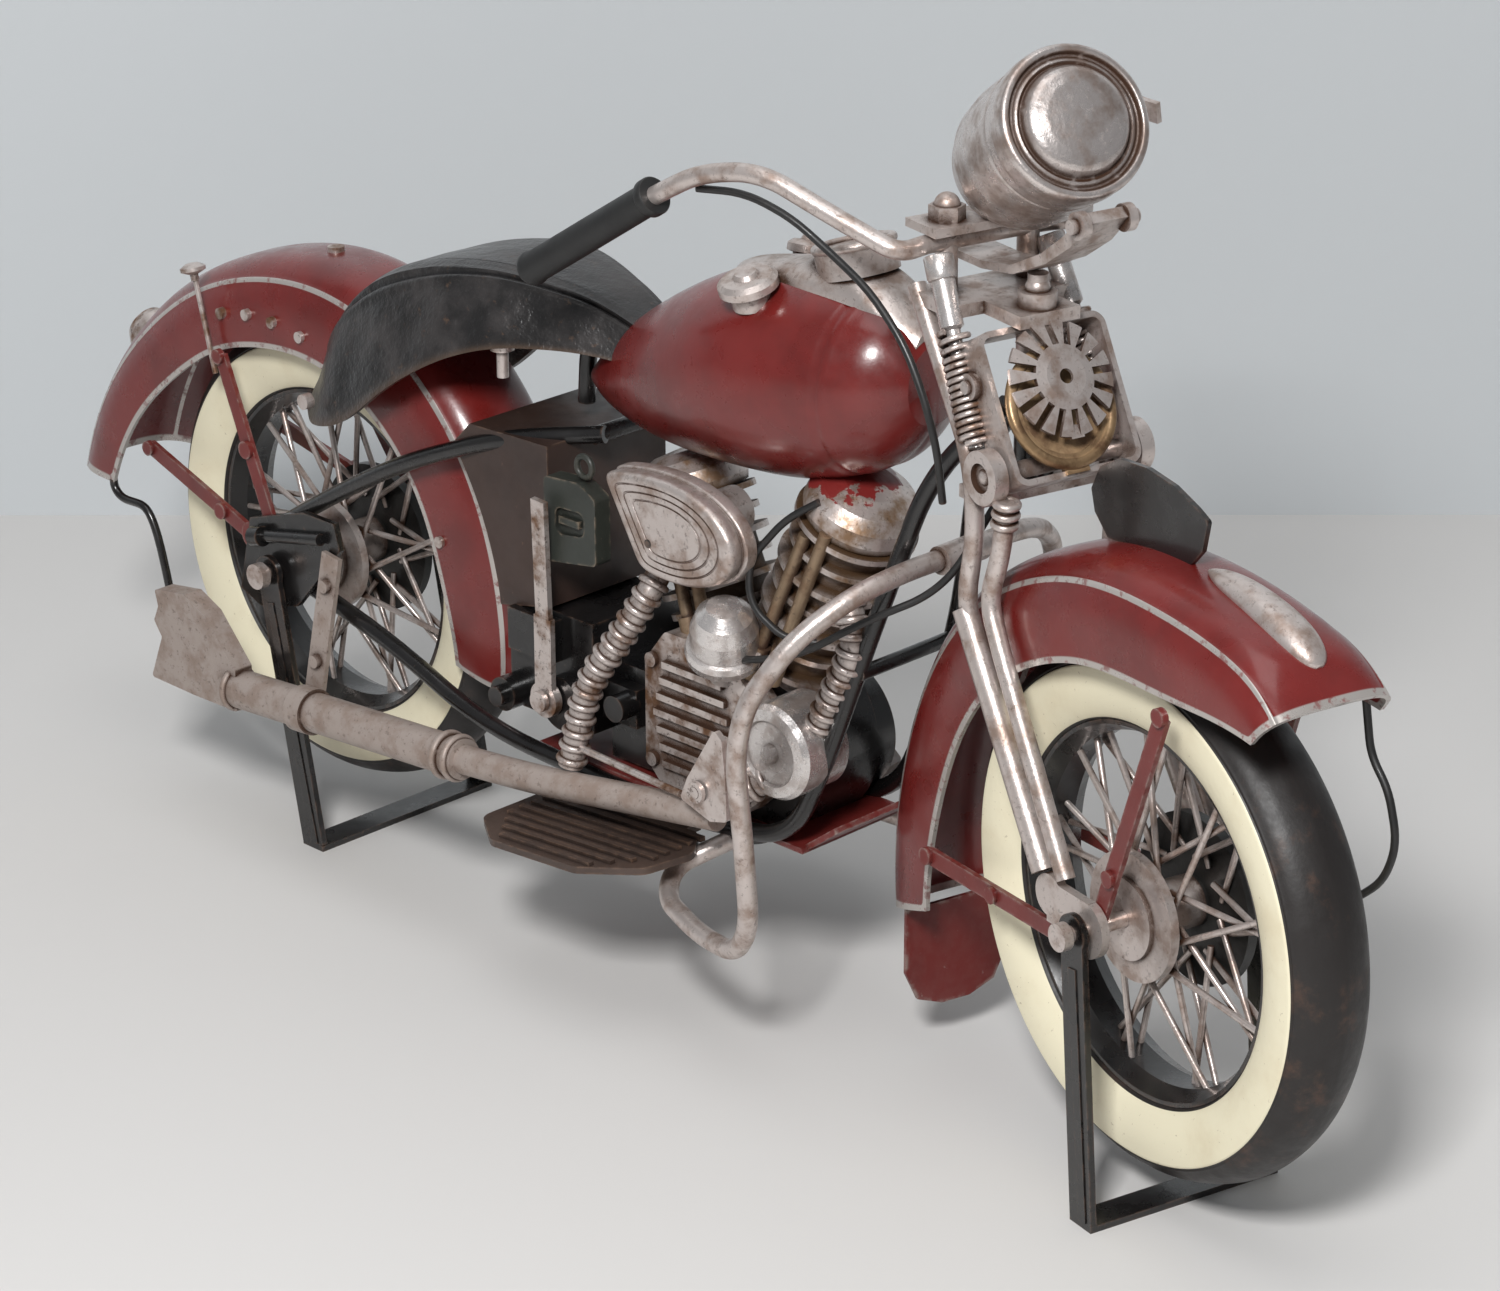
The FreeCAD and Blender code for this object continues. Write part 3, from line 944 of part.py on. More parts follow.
# ---------------------------------------------------------------- front fender
FR = P["front_fender_radius"]
node("front_fender", feature("FrontFender", fender(FZ, FO, [
    (51.5, FR + 3.5, 77.5, FW + 0.5), (58, FR + 5.0, 72, FW + 0.3), (67, FR + 3.4, 65.5, FW), (82, FR, 60, FW),
    (100, FR - 1.0, 58.5, FW), (120, FR - 0.5, 58.5, FW), (140, FR + 1.0, 60, FW), (160, FR + 3.0, 62, FW),
    (180, FR + 7.0, 66, FW), (200, FR + 13.5, 74, FW)])), STEER)
fa = []
for s, tag in ((-1, "R"), (1, "L")):
    y = s * (FW + SK / 2 + 0.9)
    p1 = V(FO + 20, y, FZ + 57)
    p2 = V(FO + 1.5, y + s * 1.0, FZ + 3)
    p3 = V(FO - 66, y, FZ - 9)
    p4 = V(FO - 12, y + s * 1.0, FZ - 7)
    fa.append(fuse("FrontStruts" + tag, [
        bar("FStrutUp" + tag, p1, p2, SW, SK), bar("FStrutBack" + tag, p3, p4, SW, SK),
        bar("FStrutLink" + tag, p4, p2, SW, SK),
        cyl("FRivetA" + tag, 2.1, 1.7, p1, V(0, s, 0)), cyl("FRivetB" + tag, 2.1, 1.7, p3, V(0, s, 0)),
        cyl("FRivetC" + tag, 2.0, 1.7, p1 * 0.2 + p2 * 0.8, V(0, s, 0)),
        cyl("FRivetD" + tag, 2.0, 1.7, p3 * 0.5 + p4 * 0.5, V(0, s, 0)), cyl("FRivetE" + tag, 2.0, 1.7, p4, V(0, s, 0))]))
node("front_fender_struts", group("FrontStruts", fa), STEER)
FL = P["flap_length"]
FT = 39.0
flap = plate("Mudflap", [(-14.5, FT), (14.5, FT), (14.5, FT - FL * 0.62), (11, FT - FL * 0.9), (4, FT - FL), (-4, FT - FL),
                         (-11, FT - FL * 0.9), (-14.5, FT - FL * 0.62)], 1.0, plane="YZ_Plane")
flap.Placement = PLACE(V(-27.5, 0, 0), ROT())
node("mudflap", flap, STEER)
crest = plate("FenderPlate", [(22.5, 158), (25.5, 164), (32, 167.8), (42.5, 168.7), (52, 167.6), (60, 165), (64, 163.2), (62.5, 156), (58, 151),
                                  (45, 150), (29, 148.5), (24, 153)], 1.2, round_to=0.8)
node("fender_plate", crest, STEER)


def blob(x0, x1, height, width, base):
    """A teardrop lying on the fender's crest, from x0 back to x1 forward."""
    rings = []
    for t, a in ((0.0, 0.10), (0.10, 0.45), (0.28, 0.75), (0.5, 0.92), (0.72, 1.0), (0.88, 0.85), (0.97, 0.5), (1.0, 0.18)):
        ang = math.radians(x0 + (x1 - x0) * t)
        c = V(FO + base(t) * math.cos(ang), 0, FZ + base(t) * math.sin(ang))
        u = V(math.cos(ang), 0, math.sin(ang))
        pts = []
        for i in range(17):
            q = 2 * math.pi * i / 16
            pts.append(c + AY * (width * a * math.cos(q)) + u * (height * a * math.sin(q)))
        pts[-1] = pts[0]
        rings.append(closed_spline(pts))
    return Part.makeLoft(rings, True, False)


trim = blob(83, 57, 3.8, 5.0, lambda q: FR + 0.4 + 4.4 * q)
node("fender_trim", feature("FenderTrim", trim), STEER)
wires = [tube(vecs([(-64, -48.3, 211.8), (-53, -42.5, 212.6), (-42.5, -37, 208.6), (-34.5, -32.5, 202.4), (-22.8, -29, 195.6), (-11.8, -27, 185.8),
                    (-5, -26, 174.5), (-2.5, -24.4, 163.5), (-5, -21, 150)]), CBR),
         tube(vecs([(96.5, 17.6, 131), (98, 18.5, 118), (104, 18.8, 112), (107.5, 19, 101), (104, 19, 91), (94, 18.6, 82), (78, 18.4, 76), (66, 19, 72.5)]), CBR)]
node("steering_cables", feature("SteeringCables", Part.makeCompound(wires)), STEER)

# ---------------------------------------------------------------- checks, origin and export
doc.recompute()
problems = []
for o in doc.Objects:
    if "Invalid" in o.State or "Error" in o.State:
        problems.append("%s state %s" % (o.Name, o.State))
for name, o in NODES.items():
    s = o.Shape
    if s.isNull() or not s.isValid() or s.Volume < 0.5:
        problems.append("%s null, invalid or empty" % name)
if problems:
    raise RuntimeError("; ".join(problems))
whole = FreeCAD.BoundBox()
for o in NODES.values():
    whole.add(o.Shape.optimalBoundingBox(True, False))
shift = V(-round((whole.XMin + whole.XMax) / 2, 3), -round((whole.YMin + whole.YMax) / 2, 3), -round(whole.ZMin, 3))
for o in NODES.values():
    o.Placement = PLACE(shift, ROT()).multiply(o.Placement)
doc.recompute()
for name, o in NODES.items():
    if o.Shape.isNull() or not o.Shape.isValid():
        raise RuntimeError("%s is not valid" % name)
    o.Shape.exportStep("parts/%s.step" % name)
print("nodes", len(NODES), "shift", shift, "size", whole.XLength, whole.YLength, whole.ZLength)
print("pivot x", PIVOT_X + shift.x, "turn", TURN)
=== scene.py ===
"""The tin motorcycle in its looks: aged finishes over the CAD nodes, finer surfaces for the tyres, fenders, tank,
saddle, air cleaner, headlight, grips and springs, and the set it is shown on.

Lengths in tables are millimetres.  machine() and steered() turn them into the model's metres."""
import json
import math

import bpy
import numpy as np
from mathutils import Matrix


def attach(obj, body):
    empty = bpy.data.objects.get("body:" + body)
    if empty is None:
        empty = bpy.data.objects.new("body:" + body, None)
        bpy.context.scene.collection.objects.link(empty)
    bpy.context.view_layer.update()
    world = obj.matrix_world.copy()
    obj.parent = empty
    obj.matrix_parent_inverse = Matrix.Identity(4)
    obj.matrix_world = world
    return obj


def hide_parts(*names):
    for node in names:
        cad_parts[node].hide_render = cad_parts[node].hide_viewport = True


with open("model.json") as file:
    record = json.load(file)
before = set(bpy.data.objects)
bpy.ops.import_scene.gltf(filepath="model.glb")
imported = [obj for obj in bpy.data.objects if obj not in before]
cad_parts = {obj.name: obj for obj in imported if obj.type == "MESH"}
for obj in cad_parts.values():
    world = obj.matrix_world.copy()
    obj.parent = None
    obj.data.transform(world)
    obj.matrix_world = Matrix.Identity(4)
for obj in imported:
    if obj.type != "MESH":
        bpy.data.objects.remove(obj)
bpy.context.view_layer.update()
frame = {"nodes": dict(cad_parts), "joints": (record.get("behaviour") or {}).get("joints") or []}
NODES = frame["nodes"]
JOINTS = {j["name"]: j for j in frame["joints"]}
REAR = np.array(JOINTS["rear_wheel_spin"]["pos_m"])
FRONT = np.array(JOINTS["front_wheel_spin"]["pos_m"])
PIVOT = np.array(JOINTS["steering_turn"]["pos_m"])
LEFT = np.array(JOINTS["front_wheel_spin"]["axis"], float)
AHEAD = np.array([LEFT[1], -LEFT[0], 0.0])


def machine(p):
    """Millimetres from the rear axle's foot (forward, left, up) to metres in the model's frame."""
    p = np.asarray(p, float) * 0.001
    return p + np.array([REAR[0], REAR[1], 0.0])


def steered(p):
    """Millimetres from the fork's pivot (ahead, left, up), turned with the fork, to metres."""
    p = np.asarray(p, float) * 0.001
    return (p[..., :1] * AHEAD + p[..., 1:2] * LEFT + p[..., 2:] * np.array([0, 0, 1.0])
            + np.array([PIVOT[0], PIVOT[1], 0.0]))


def smooth(xs, ys, x):
    """Natural cubic spline through (xs, ys), read at x: second derivatives from one linear solve."""
    xs, ys, x = (np.asarray(a, float) for a in (xs, ys, x))
    n = len(xs)
    h = np.diff(xs)
    a = np.eye(n)
    b = np.zeros(n)
    for i in range(1, n - 1):
        a[i, i - 1:i + 2] = h[i - 1], 2 * (h[i - 1] + h[i]), h[i]
        b[i] = 6 * ((ys[i + 1] - ys[i]) / h[i] - (ys[i] - ys[i - 1]) / h[i - 1])
    m = np.linalg.solve(a, b)
    k = np.clip(np.searchsorted(xs, x) - 1, 0, n - 2)
    t = x - xs[k]
    return (ys[k] + t * ((ys[k + 1] - ys[k]) / h[k] - h[k] * (2 * m[k] + m[k + 1]) / 6)
            + t ** 2 * m[k] / 2 + t ** 3 * (m[k + 1] - m[k]) / (6 * h[k]))


def piece(name, verts, quads, body, finish, slot, marks=None, replaces=()):
    """A mesh from arrays.  Faces are turned outwards by the sign of the enclosed volume, and
    collapsed corners at poles are merged.  marks are named numbers on the vertices."""
    verts = np.asarray(verts, float)
    quads = np.asarray(quads, int)
    a, b, c, d = (verts[quads[:, k]] for k in range(4))
    volume = np.einsum("ij,ij->i", a, np.cross(b, c)).sum() + np.einsum("ij,ij->i", a, np.cross(c, d)).sum()
    if volume < 0:
        quads = quads[:, ::-1]
    key = np.round(verts * 1e7).astype(np.int64)
    _, first, back = np.unique(key, axis=0, return_index=True, return_inverse=True)
    back = back.reshape(-1)
    quads = back[quads]
    faces = []
    for q in quads.tolist():
        f = [v for i, v in enumerate(q) if v != q[i - 1]]
        if len(set(f)) > 2:
            faces.append(f)
    mesh = bpy.data.meshes.new(name)
    mesh.from_pydata(verts[first].tolist(), [], faces)
    for mark, values in (marks or {}).items():
        attr = mesh.attributes.new(mark, "FLOAT", "POINT")
        attr.data.foreach_set("value", np.asarray(values, float).reshape(-1)[first])
    mesh.polygons.foreach_set("use_smooth", [True] * len(mesh.polygons))
    mesh.update()
    mesh.validate()
    o = bpy.data.objects.new(name, mesh)
    bpy.context.scene.collection.objects.link(o)
    mesh.materials.append(finish)
    split = o.modifiers.new("Creases", "EDGE_SPLIT")
    split.split_angle = math.radians(38)
    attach(o, body)
    if replaces:
        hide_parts(*replaces)
    return o


def grid_quads(m, n, wrap_m, wrap_n, start=0):
    """Quads of an m by n grid of points, numbered row by row, joined round where asked."""
    i = np.arange(m if wrap_m else m - 1)
    j = np.arange(n if wrap_n else n - 1)
    i, j = np.meshgrid(i, j, indexing="ij")
    i2 = (i + 1) % m
    j2 = (j + 1) % n
    return np.stack([i * n + j, i * n + j2, i2 * n + j2, i2 * n + j], -1).reshape(-1, 4) + start


def rings(name, p, *args, wrap=False, marks=None, **kw):
    """Closed rings p[m, n] joined in order; both ends are drawn in to a middle point unless they wrap."""
    m, n, _ = p.shape
    if not wrap:
        first, last = (np.repeat(end.mean(1, keepdims=True), n, 1) for end in (p[:1], p[-1:]))
        p = np.concatenate([first, p, last])
        marks = {k: np.concatenate([v[:1], v, v[-1:]]) for k, v in (marks or {}).items()}
    return piece(name, p.reshape(-1, 3), grid_quads(len(p), n, wrap, True), *args, marks=marks, **kw)


def shell(name, outer, inner, *args, marks=None, **kw):
    """Two open grids of the same size, joined along their four borders into one closed sheet."""
    m, n, _ = outer.shape
    size = m * n
    idx = np.arange(size).reshape(m, n)
    parts = [grid_quads(m, n, False, False), grid_quads(m, n, False, False, size)[:, ::-1]]
    for line in (idx[0], idx[-1][::-1], idx[:, 0][::-1], idx[:, -1]):
        parts.append(np.stack([line[1:], line[:-1], line[:-1] + size, line[1:] + size], -1))
    marks = {k: np.concatenate([v.reshape(-1), v.reshape(-1)]) for k, v in (marks or {}).items()}
    points = np.concatenate([outer.reshape(-1, 3), inner.reshape(-1, 3)])
    return piece(name, points, np.concatenate(parts), *args, marks=marks, **kw)


def turned(profile, centre, axis, n=128):
    """A profile of (radius, height) rows carried round an axis: centre + axis*height + radius*(cos, sin)."""
    axis = np.asarray(axis, float) / np.linalg.norm(axis)
    side = np.cross(axis, [0.31, 0.17, 0.93])
    side /= np.linalg.norm(side)
    up = np.cross(axis, side)
    prof = np.asarray(profile, float) * 0.001
    t = np.linspace(0, 2 * math.pi, n, endpoint=False)
    spin = np.cos(t)[:, None] * side + np.sin(t)[:, None] * up
    return centre + prof[:, 1][:, None, None] * axis + prof[:, 0][:, None, None] * spin[None]


def piped(path, radius, n=12):
    """A circle of the given radius carried along a path, turned with it without twist."""
    path = np.asarray(path, float)
    tangent = np.gradient(path, axis=0)
    tangent /= np.linalg.norm(tangent, axis=1)[:, None]
    side = np.cross(tangent[0], [0.2, 0.9, 0.3])
    frames = []
    for t in tangent:
        side = side - t * side.dot(t)
        side = side / np.linalg.norm(side)
        frames.append((side, np.cross(t, side)))
    a = np.array([f[0] for f in frames])[:, None]
    b = np.array([f[1] for f in frames])[:, None]
    t = np.linspace(0, 2 * math.pi, n, endpoint=False)[None, :, None]
    radius = np.broadcast_to(np.asarray(radius, float) * 0.001, (len(path),))[:, None, None]
    return path[:, None] + radius * (np.cos(t) * a + np.sin(t) * b)


# ------------------------------------------------------------------ finishes
class Finish:
    """A node material with short words for the nodes used on this toy."""

    def __init__(self, name):
        self.mat = bpy.data.materials.new(name)
        self.mat.use_nodes = True
        self.t = self.mat.node_tree
        self.shader = self.t.nodes["Principled BSDF"]
        self.place = self.t.nodes.new("ShaderNodeTexCoord").outputs["Object"]

    def node(self, kind, **values):
        n = self.t.nodes.new(kind)
        for k, v in values.items():
            setattr(n, k, v)
        return n

    def link(self, a, b):
        self.t.links.new(a, b)

    def number(self, op, a, b=0.0, clamp=True):
        n = self.node("ShaderNodeMath", operation=op, use_clamp=clamp)
        for k, v in enumerate((a, b)):
            if hasattr(v, "links"):
                self.link(v, n.inputs[k])
            else:
                n.inputs[k].default_value = v
        return n.outputs[0]

    def blotch(self, scale, detail=4.0, low=0.4, high=0.6, rough=0.6):
        """Noise in space of the given scale, stretched so that low reads 0 and high reads 1."""
        n = self.node("ShaderNodeTexNoise")
        n.inputs["Scale"].default_value = scale
        n.inputs["Detail"].default_value = detail
        n.inputs["Roughness"].default_value = rough
        self.link(self.place, n.inputs["Vector"])
        return self.stretch(n.outputs["Fac"], low, high)

    def stretch(self, value, low, high):
        n = self.node("ShaderNodeMapRange", interpolation_type="SMOOTHSTEP")
        self.link(value, n.inputs["Value"])
        n.inputs["From Min"].default_value = low
        n.inputs["From Max"].default_value = high
        return n.outputs["Result"]

    def crevice(self, distance, low=0.35, high=0.9, inside=False):
        """1 deep in corners and grooves of the piece itself, 0 on open faces (or, inside, on edges)."""
        n = self.node("ShaderNodeAmbientOcclusion", samples=6, inside=inside, only_local=True)
        n.inputs["Distance"].default_value = distance
        return self.number("SUBTRACT", 1.0, self.stretch(n.outputs["AO"], low, high))

    def mix(self, fac, a, b):
        n = self.node("ShaderNodeMix", data_type="RGBA")
        for v, s in ((fac, n.inputs[0]), (a, n.inputs[6]), (b, n.inputs[7])):
            if hasattr(v, "links"):
                self.link(v, s)
            else:
                s.default_value = v if s is n.inputs[0] else (*v, 1.0)
        return n.outputs[2]

    def along(self, point, axis):
        """Signed distance in metres from a point along an axis."""
        s = self.node("ShaderNodeVectorMath", operation="SUBTRACT")
        self.link(self.place, s.inputs[0])
        s.inputs[1].default_value = tuple(point)
        d = self.node("ShaderNodeVectorMath", operation="DOT_PRODUCT")
        self.link(s.outputs[0], d.inputs[0])
        d.inputs[1].default_value = tuple(axis)
        return d.outputs["Value"]

    def mark(self, name):
        return self.node("ShaderNodeAttribute", attribute_name=name).outputs["Fac"]

    def done(self, colour, rough, bumps=(), metallic=0.0, coat=0.0, specular=0.5, coat_rough=0.15):
        s = self.shader
        for v, k in ((colour, "Base Color"), (rough, "Roughness"), (metallic, "Metallic")):
            if hasattr(v, "links"):
                self.link(v, s.inputs[k])
            else:
                s.inputs[k].default_value = v
        s.inputs["Coat Weight"].default_value = coat
        s.inputs["Coat Roughness"].default_value = coat_rough
        s.inputs["Specular IOR Level"].default_value = specular
        last = None
        for height, strength, distance in bumps:
            b = self.node("ShaderNodeBump")
            b.inputs["Strength"].default_value = strength
            b.inputs["Distance"].default_value = distance
            self.link(height, b.inputs["Height"])
            if last is not None:
                self.link(last, b.inputs["Normal"])
            last = b.outputs["Normal"]
        if last is not None:
            self.link(last, s.inputs["Normal"])
        return self.mat


def aged_silver(name, silver=(0.62, 0.550, 0.518), grime_and_shade_brown=(0.042, 0.016, 0.006), film=(0.23, 0.130, 0.082),
                reach=0.006, dirt_and_shade=0.9, metal=0.70, gloss=0.33, drum=None, cup=None, chips=None):
    """Silver paint, bright on open faces, with a thin brown film in patches and dark brown in grooves; the grooves
    are brown grime and painted shade from the piece's own occlusion.
    """
    f = Finish(name)
    patches = f.blotch(150, 5, 0.42, 0.68)
    specks = f.blotch(620, 6, 0.555, 0.66, 0.7)
    # Brown grime and painted shade: the piece's own occlusion picks out its grooves and corners, which turn dark
    # brown below.
    deep = f.number("MULTIPLY", f.crevice(reach, 0.52, 0.97), f.number("ADD", f.blotch(260, 4, 0.28, 0.58), 0.45))
    deep = f.number("MULTIPLY", deep, dirt_and_shade * 1.55)
    tone = f.mix(f.number("MULTIPLY", patches, dirt_and_shade * 0.75), silver, film)
    tone = f.mix(f.number("MULTIPLY", specks, dirt_and_shade * 0.55), tone, grime_and_shade_brown)
    # Grooves to dark brown: brown grime and painted shade.
    tone = f.mix(deep, tone, grime_and_shade_brown)
    dull = f.number("SUBTRACT", 1.0, f.number("ADD", deep, f.number("MULTIPLY", specks, 0.5)))
    metallic = f.number("MULTIPLY", dull, metal)
    if cup is not None:
        behind = f.number("SUBTRACT", 1.0, f.stretch(f.along(*cup), -0.0002, 0.0002))
        tone = f.mix(behind, tone, f.mix(patches, (0.33, 0.215, 0.115), (0.13, 0.070, 0.035)))
    if chips is not None:
        ragged = f.number("MULTIPLY", f.blotch(170, 5, 0.3, 0.7), 0.8)
        above = f.number("ADD", f.stretch(f.along(*chips), -0.004, 0.004), ragged)
        red = f.stretch(above, 0.92, 0.97)
        tone = f.mix(red, tone, (0.19, 0.020, 0.018))
        metallic = f.number("MULTIPLY", metallic, f.number("SUBTRACT", 1.0, red))
    if drum is not None:
        side = f.stretch(f.along(*drum), 0.0060, 0.0064)
        tone = f.mix(side, tone, (0.012, 0.011, 0.010))
        metallic = f.number("MULTIPLY", metallic, f.number("SUBTRACT", 1.0, side))
    rough = f.number("ADD", f.number("MULTIPLY", deep, 0.3), f.number("MULTIPLY", patches, 0.12))
    bumps = [(f.blotch(320, 5, 0.2, 0.8), 0.16, 0.0004), (f.blotch(1400, 3, 0.2, 0.8), 0.10, 0.0002)]
    return f.done(tone, f.number("ADD", gloss, rough), bumps, metallic)


def painted(name, colour, dark, rub, wear=0.35, gloss=0.33, coat=0.25, stripe=None, reach=0.006, chips=0.0,
            edge=0.0011):
    """Enamel with clouded tone, painted shade in corners and grooves, rubbed edges, fine specks and soft orange-peel.
    """
    f = Finish(name)
    cloud = f.blotch(45, 5, 0.38, 0.72)
    tone = f.mix(f.number("MULTIPLY", cloud, 0.45), colour, dark)
    # Painted shade: the piece's own occlusion darkens its corners and grooves towards the dark colour.
    tone = f.mix(f.number("MULTIPLY", f.crevice(reach, 0.25, 0.95), 0.75), tone, dark)
    bare = f.number("MULTIPLY", f.crevice(edge, 0.42, 0.75, inside=True), f.blotch(330, 5, 0.40, 0.62))
    rubbed = f.number("MULTIPLY", bare, wear)
    if chips:
        rubbed = f.number("ADD", rubbed, f.number("MULTIPLY", f.blotch(420, 6, 0.66, 0.70, 0.7), chips))
    tone = f.mix(rubbed, tone, rub)
    metallic = 0.0
    if stripe:
        thin = f.number("ADD", f.blotch(380, 5, 0.34, 0.50), 0.25)
        worn = f.number("MULTIPLY", f.stretch(f.mark(stripe), 0.35, 0.65), thin)
        tone = f.mix(worn, tone, (0.50, 0.46, 0.43))
        metallic = f.number("MULTIPLY", worn, 0.5)
    rough = f.number("ADD", gloss, f.number("MULTIPLY", f.blotch(120, 5, 0.35, 0.7), 0.16))
    bumps = [(f.blotch(240, 4, 0.2, 0.8), 0.08, 0.0004), (f.blotch(1700, 2, 0.2, 0.8), 0.05, 0.0001)]
    return f.done(tone, rough, bumps, metallic, coat)


def tyre_black(name):
    """Black rubber with brown rub streaks on the tread, and a cream side band where the band mark is 1."""
    f = Finish(name)
    rub = f.number("MULTIPLY", f.blotch(90, 6, 0.52, 0.74, 0.7), 0.45)
    black = f.mix(rub, (0.016, 0.013, 0.012), (0.12, 0.058, 0.034))
    cream = f.mix(f.number("MULTIPLY", f.blotch(60, 5, 0.45, 0.8), 0.5), (0.80, 0.74, 0.55), (0.62, 0.52, 0.34))
    cream = f.mix(f.number("MULTIPLY", f.blotch(900, 4, 0.66, 0.72), 0.5), cream, (0.25, 0.17, 0.09))
    band = f.stretch(f.mark("band"), 0.40, 0.60)
    tone = f.mix(band, black, cream)
    rough = f.number("ADD", 0.42, f.number("MULTIPLY", f.blotch(200, 5, 0.3, 0.7), 0.14))
    return f.done(tone, rough, [(f.blotch(500, 4, 0.2, 0.8), 0.10, 0.0003)])


def seat_leather(name):
    """Black covering greyed on top: fine pebble grain, soft creases and a worn bloom."""
    f = Finish(name)
    bloom = f.blotch(70, 6, 0.36, 0.70)
    tone = f.mix(f.number("MULTIPLY", bloom, 0.8), (0.013, 0.012, 0.012), (0.052, 0.046, 0.045))
    tone = f.mix(f.number("MULTIPLY", f.blotch(340, 5, 0.60, 0.70, 0.7), 0.5), tone, (0.11, 0.065, 0.042))
    tone = f.mix(f.number("MULTIPLY", f.mark("seam"), 0.8), tone, (0.008, 0.008, 0.009))
    tone = f.mix(f.number("MULTIPLY", f.mark("hem"), 0.55), tone, (0.10, 0.062, 0.040))
    cells = f.node("ShaderNodeTexVoronoi", feature="F1")
    cells.inputs["Scale"].default_value = 1100
    f.link(f.place, cells.inputs["Vector"])
    rough = f.number("ADD", 0.30, f.number("MULTIPLY", bloom, 0.18))
    bumps = [(f.blotch(120, 5, 0.2, 0.8), 0.45, 0.0012), (cells.outputs["Distance"], 0.22, 0.0003)]
    return f.done(tone, rough, bumps, 0.0, 0.1)


MAROON = painted("OxbloodPaint", (0.160, 0.014, 0.012), (0.050, 0.006, 0.005), (0.30, 0.24, 0.21),
                 wear=0.5, gloss=0.25, coat=0.45, stripe="stripe")
MAROON_PLAIN = painted("OxbloodPlain", (0.150, 0.017, 0.014), (0.050, 0.007, 0.006), (0.32, 0.27, 0.24),
                       wear=0.75, gloss=0.36, coat=0.20, chips=0.5)
BLACK = painted("BlackEnamel", (0.008, 0.007, 0.007), (0.004, 0.004, 0.004), (0.12, 0.070, 0.048),
                wear=0.75, gloss=0.24, coat=0.45, chips=0.45)
FOOT_BROWN = painted("FootboardPaint", (0.070, 0.045, 0.035), (0.016, 0.010, 0.008), (0.17, 0.10, 0.065),
                     wear=0.8, gloss=0.45, coat=0.1, chips=0.4)
BROWN_BLACK = painted("BrownBlackPaint", (0.044, 0.024, 0.018), (0.014, 0.010, 0.009), (0.17, 0.10, 0.065),
                      wear=0.8, gloss=0.42, coat=0.1, chips=0.6)
RELAY = painted("AgedBoxPaint", (0.030, 0.034, 0.028), (0.010, 0.010, 0.008), (0.22, 0.17, 0.12),
                wear=0.95, gloss=0.42, coat=0.1, chips=0.8)
GRIP = painted("GripBlack", (0.016, 0.016, 0.016), (0.008, 0.008, 0.008), (0.10, 0.075, 0.06),
               wear=0.5, gloss=0.45, coat=0.0)
CABLE = painted("CableBlack", (0.012, 0.012, 0.012), (0.008, 0.008, 0.008), (0.12, 0.06, 0.04),
                wear=0.5, gloss=0.38, coat=0.1)
RUBBER = tyre_black("TyreRubber")
LEATHER = seat_leather("SaddleCovering")

# Where the red chips on the cylinder heads begin, and the plane that parts the horn's cup from its disc.
HEAD_CHIPS = (machine((0, 0, 138.5)), (0, 0, 1))
HORN_SEAT = (steered((11.9, 0, 176.3)), AHEAD * 0.866 + np.array([0, 0, 0.5]))
SILVER = aged_silver("AgedSilver")
# More brown film and specks, and stronger painted shade and grime in the grooves.
SILVER_GRIME_AND_SHADE = aged_silver("AgedSilverGrimy", dirt_and_shade=1.35, reach=0.0055, film=(0.20, 0.105, 0.058))
SILVER_HEADS = aged_silver("CylinderSilver", dirt_and_shade=1.25, reach=0.0055, film=(0.26, 0.150, 0.075),
                           grime_and_shade_brown=(0.060, 0.028, 0.009), chips=HEAD_CHIPS)
SILVER_HORN = aged_silver("HornSilver", cup=HORN_SEAT)
SILVER_LAMP = aged_silver("LampSilver", silver=(0.66, 0.60, 0.575), dirt_and_shade=0.85, metal=0.86, gloss=0.27)
SILVER_BRIGHT = aged_silver("RubbedSilver", silver=(0.74, 0.70, 0.68), dirt_and_shade=0.65, metal=0.78, gloss=0.25)
PIPE_GREY = aged_silver("PipeGrey", silver=(0.40, 0.335, 0.30), film=(0.25, 0.175, 0.135), dirt_and_shade=0.85,
                        metal=0.34, gloss=0.48)
BRONZE = aged_silver("BronzePaint", silver=(0.30, 0.215, 0.14), film=(0.16, 0.09, 0.05), dirt_and_shade=0.95, metal=0.6,
                     gloss=0.38)
SPOKES_F = aged_silver("FrontSpokes", dirt_and_shade=0.8, metal=0.7, gloss=0.30, drum=(FRONT, LEFT))
SPOKES_R = aged_silver("RearSpokes", dirt_and_shade=0.8, metal=0.7, gloss=0.30, drum=(REAR, (0, 1, 0)))

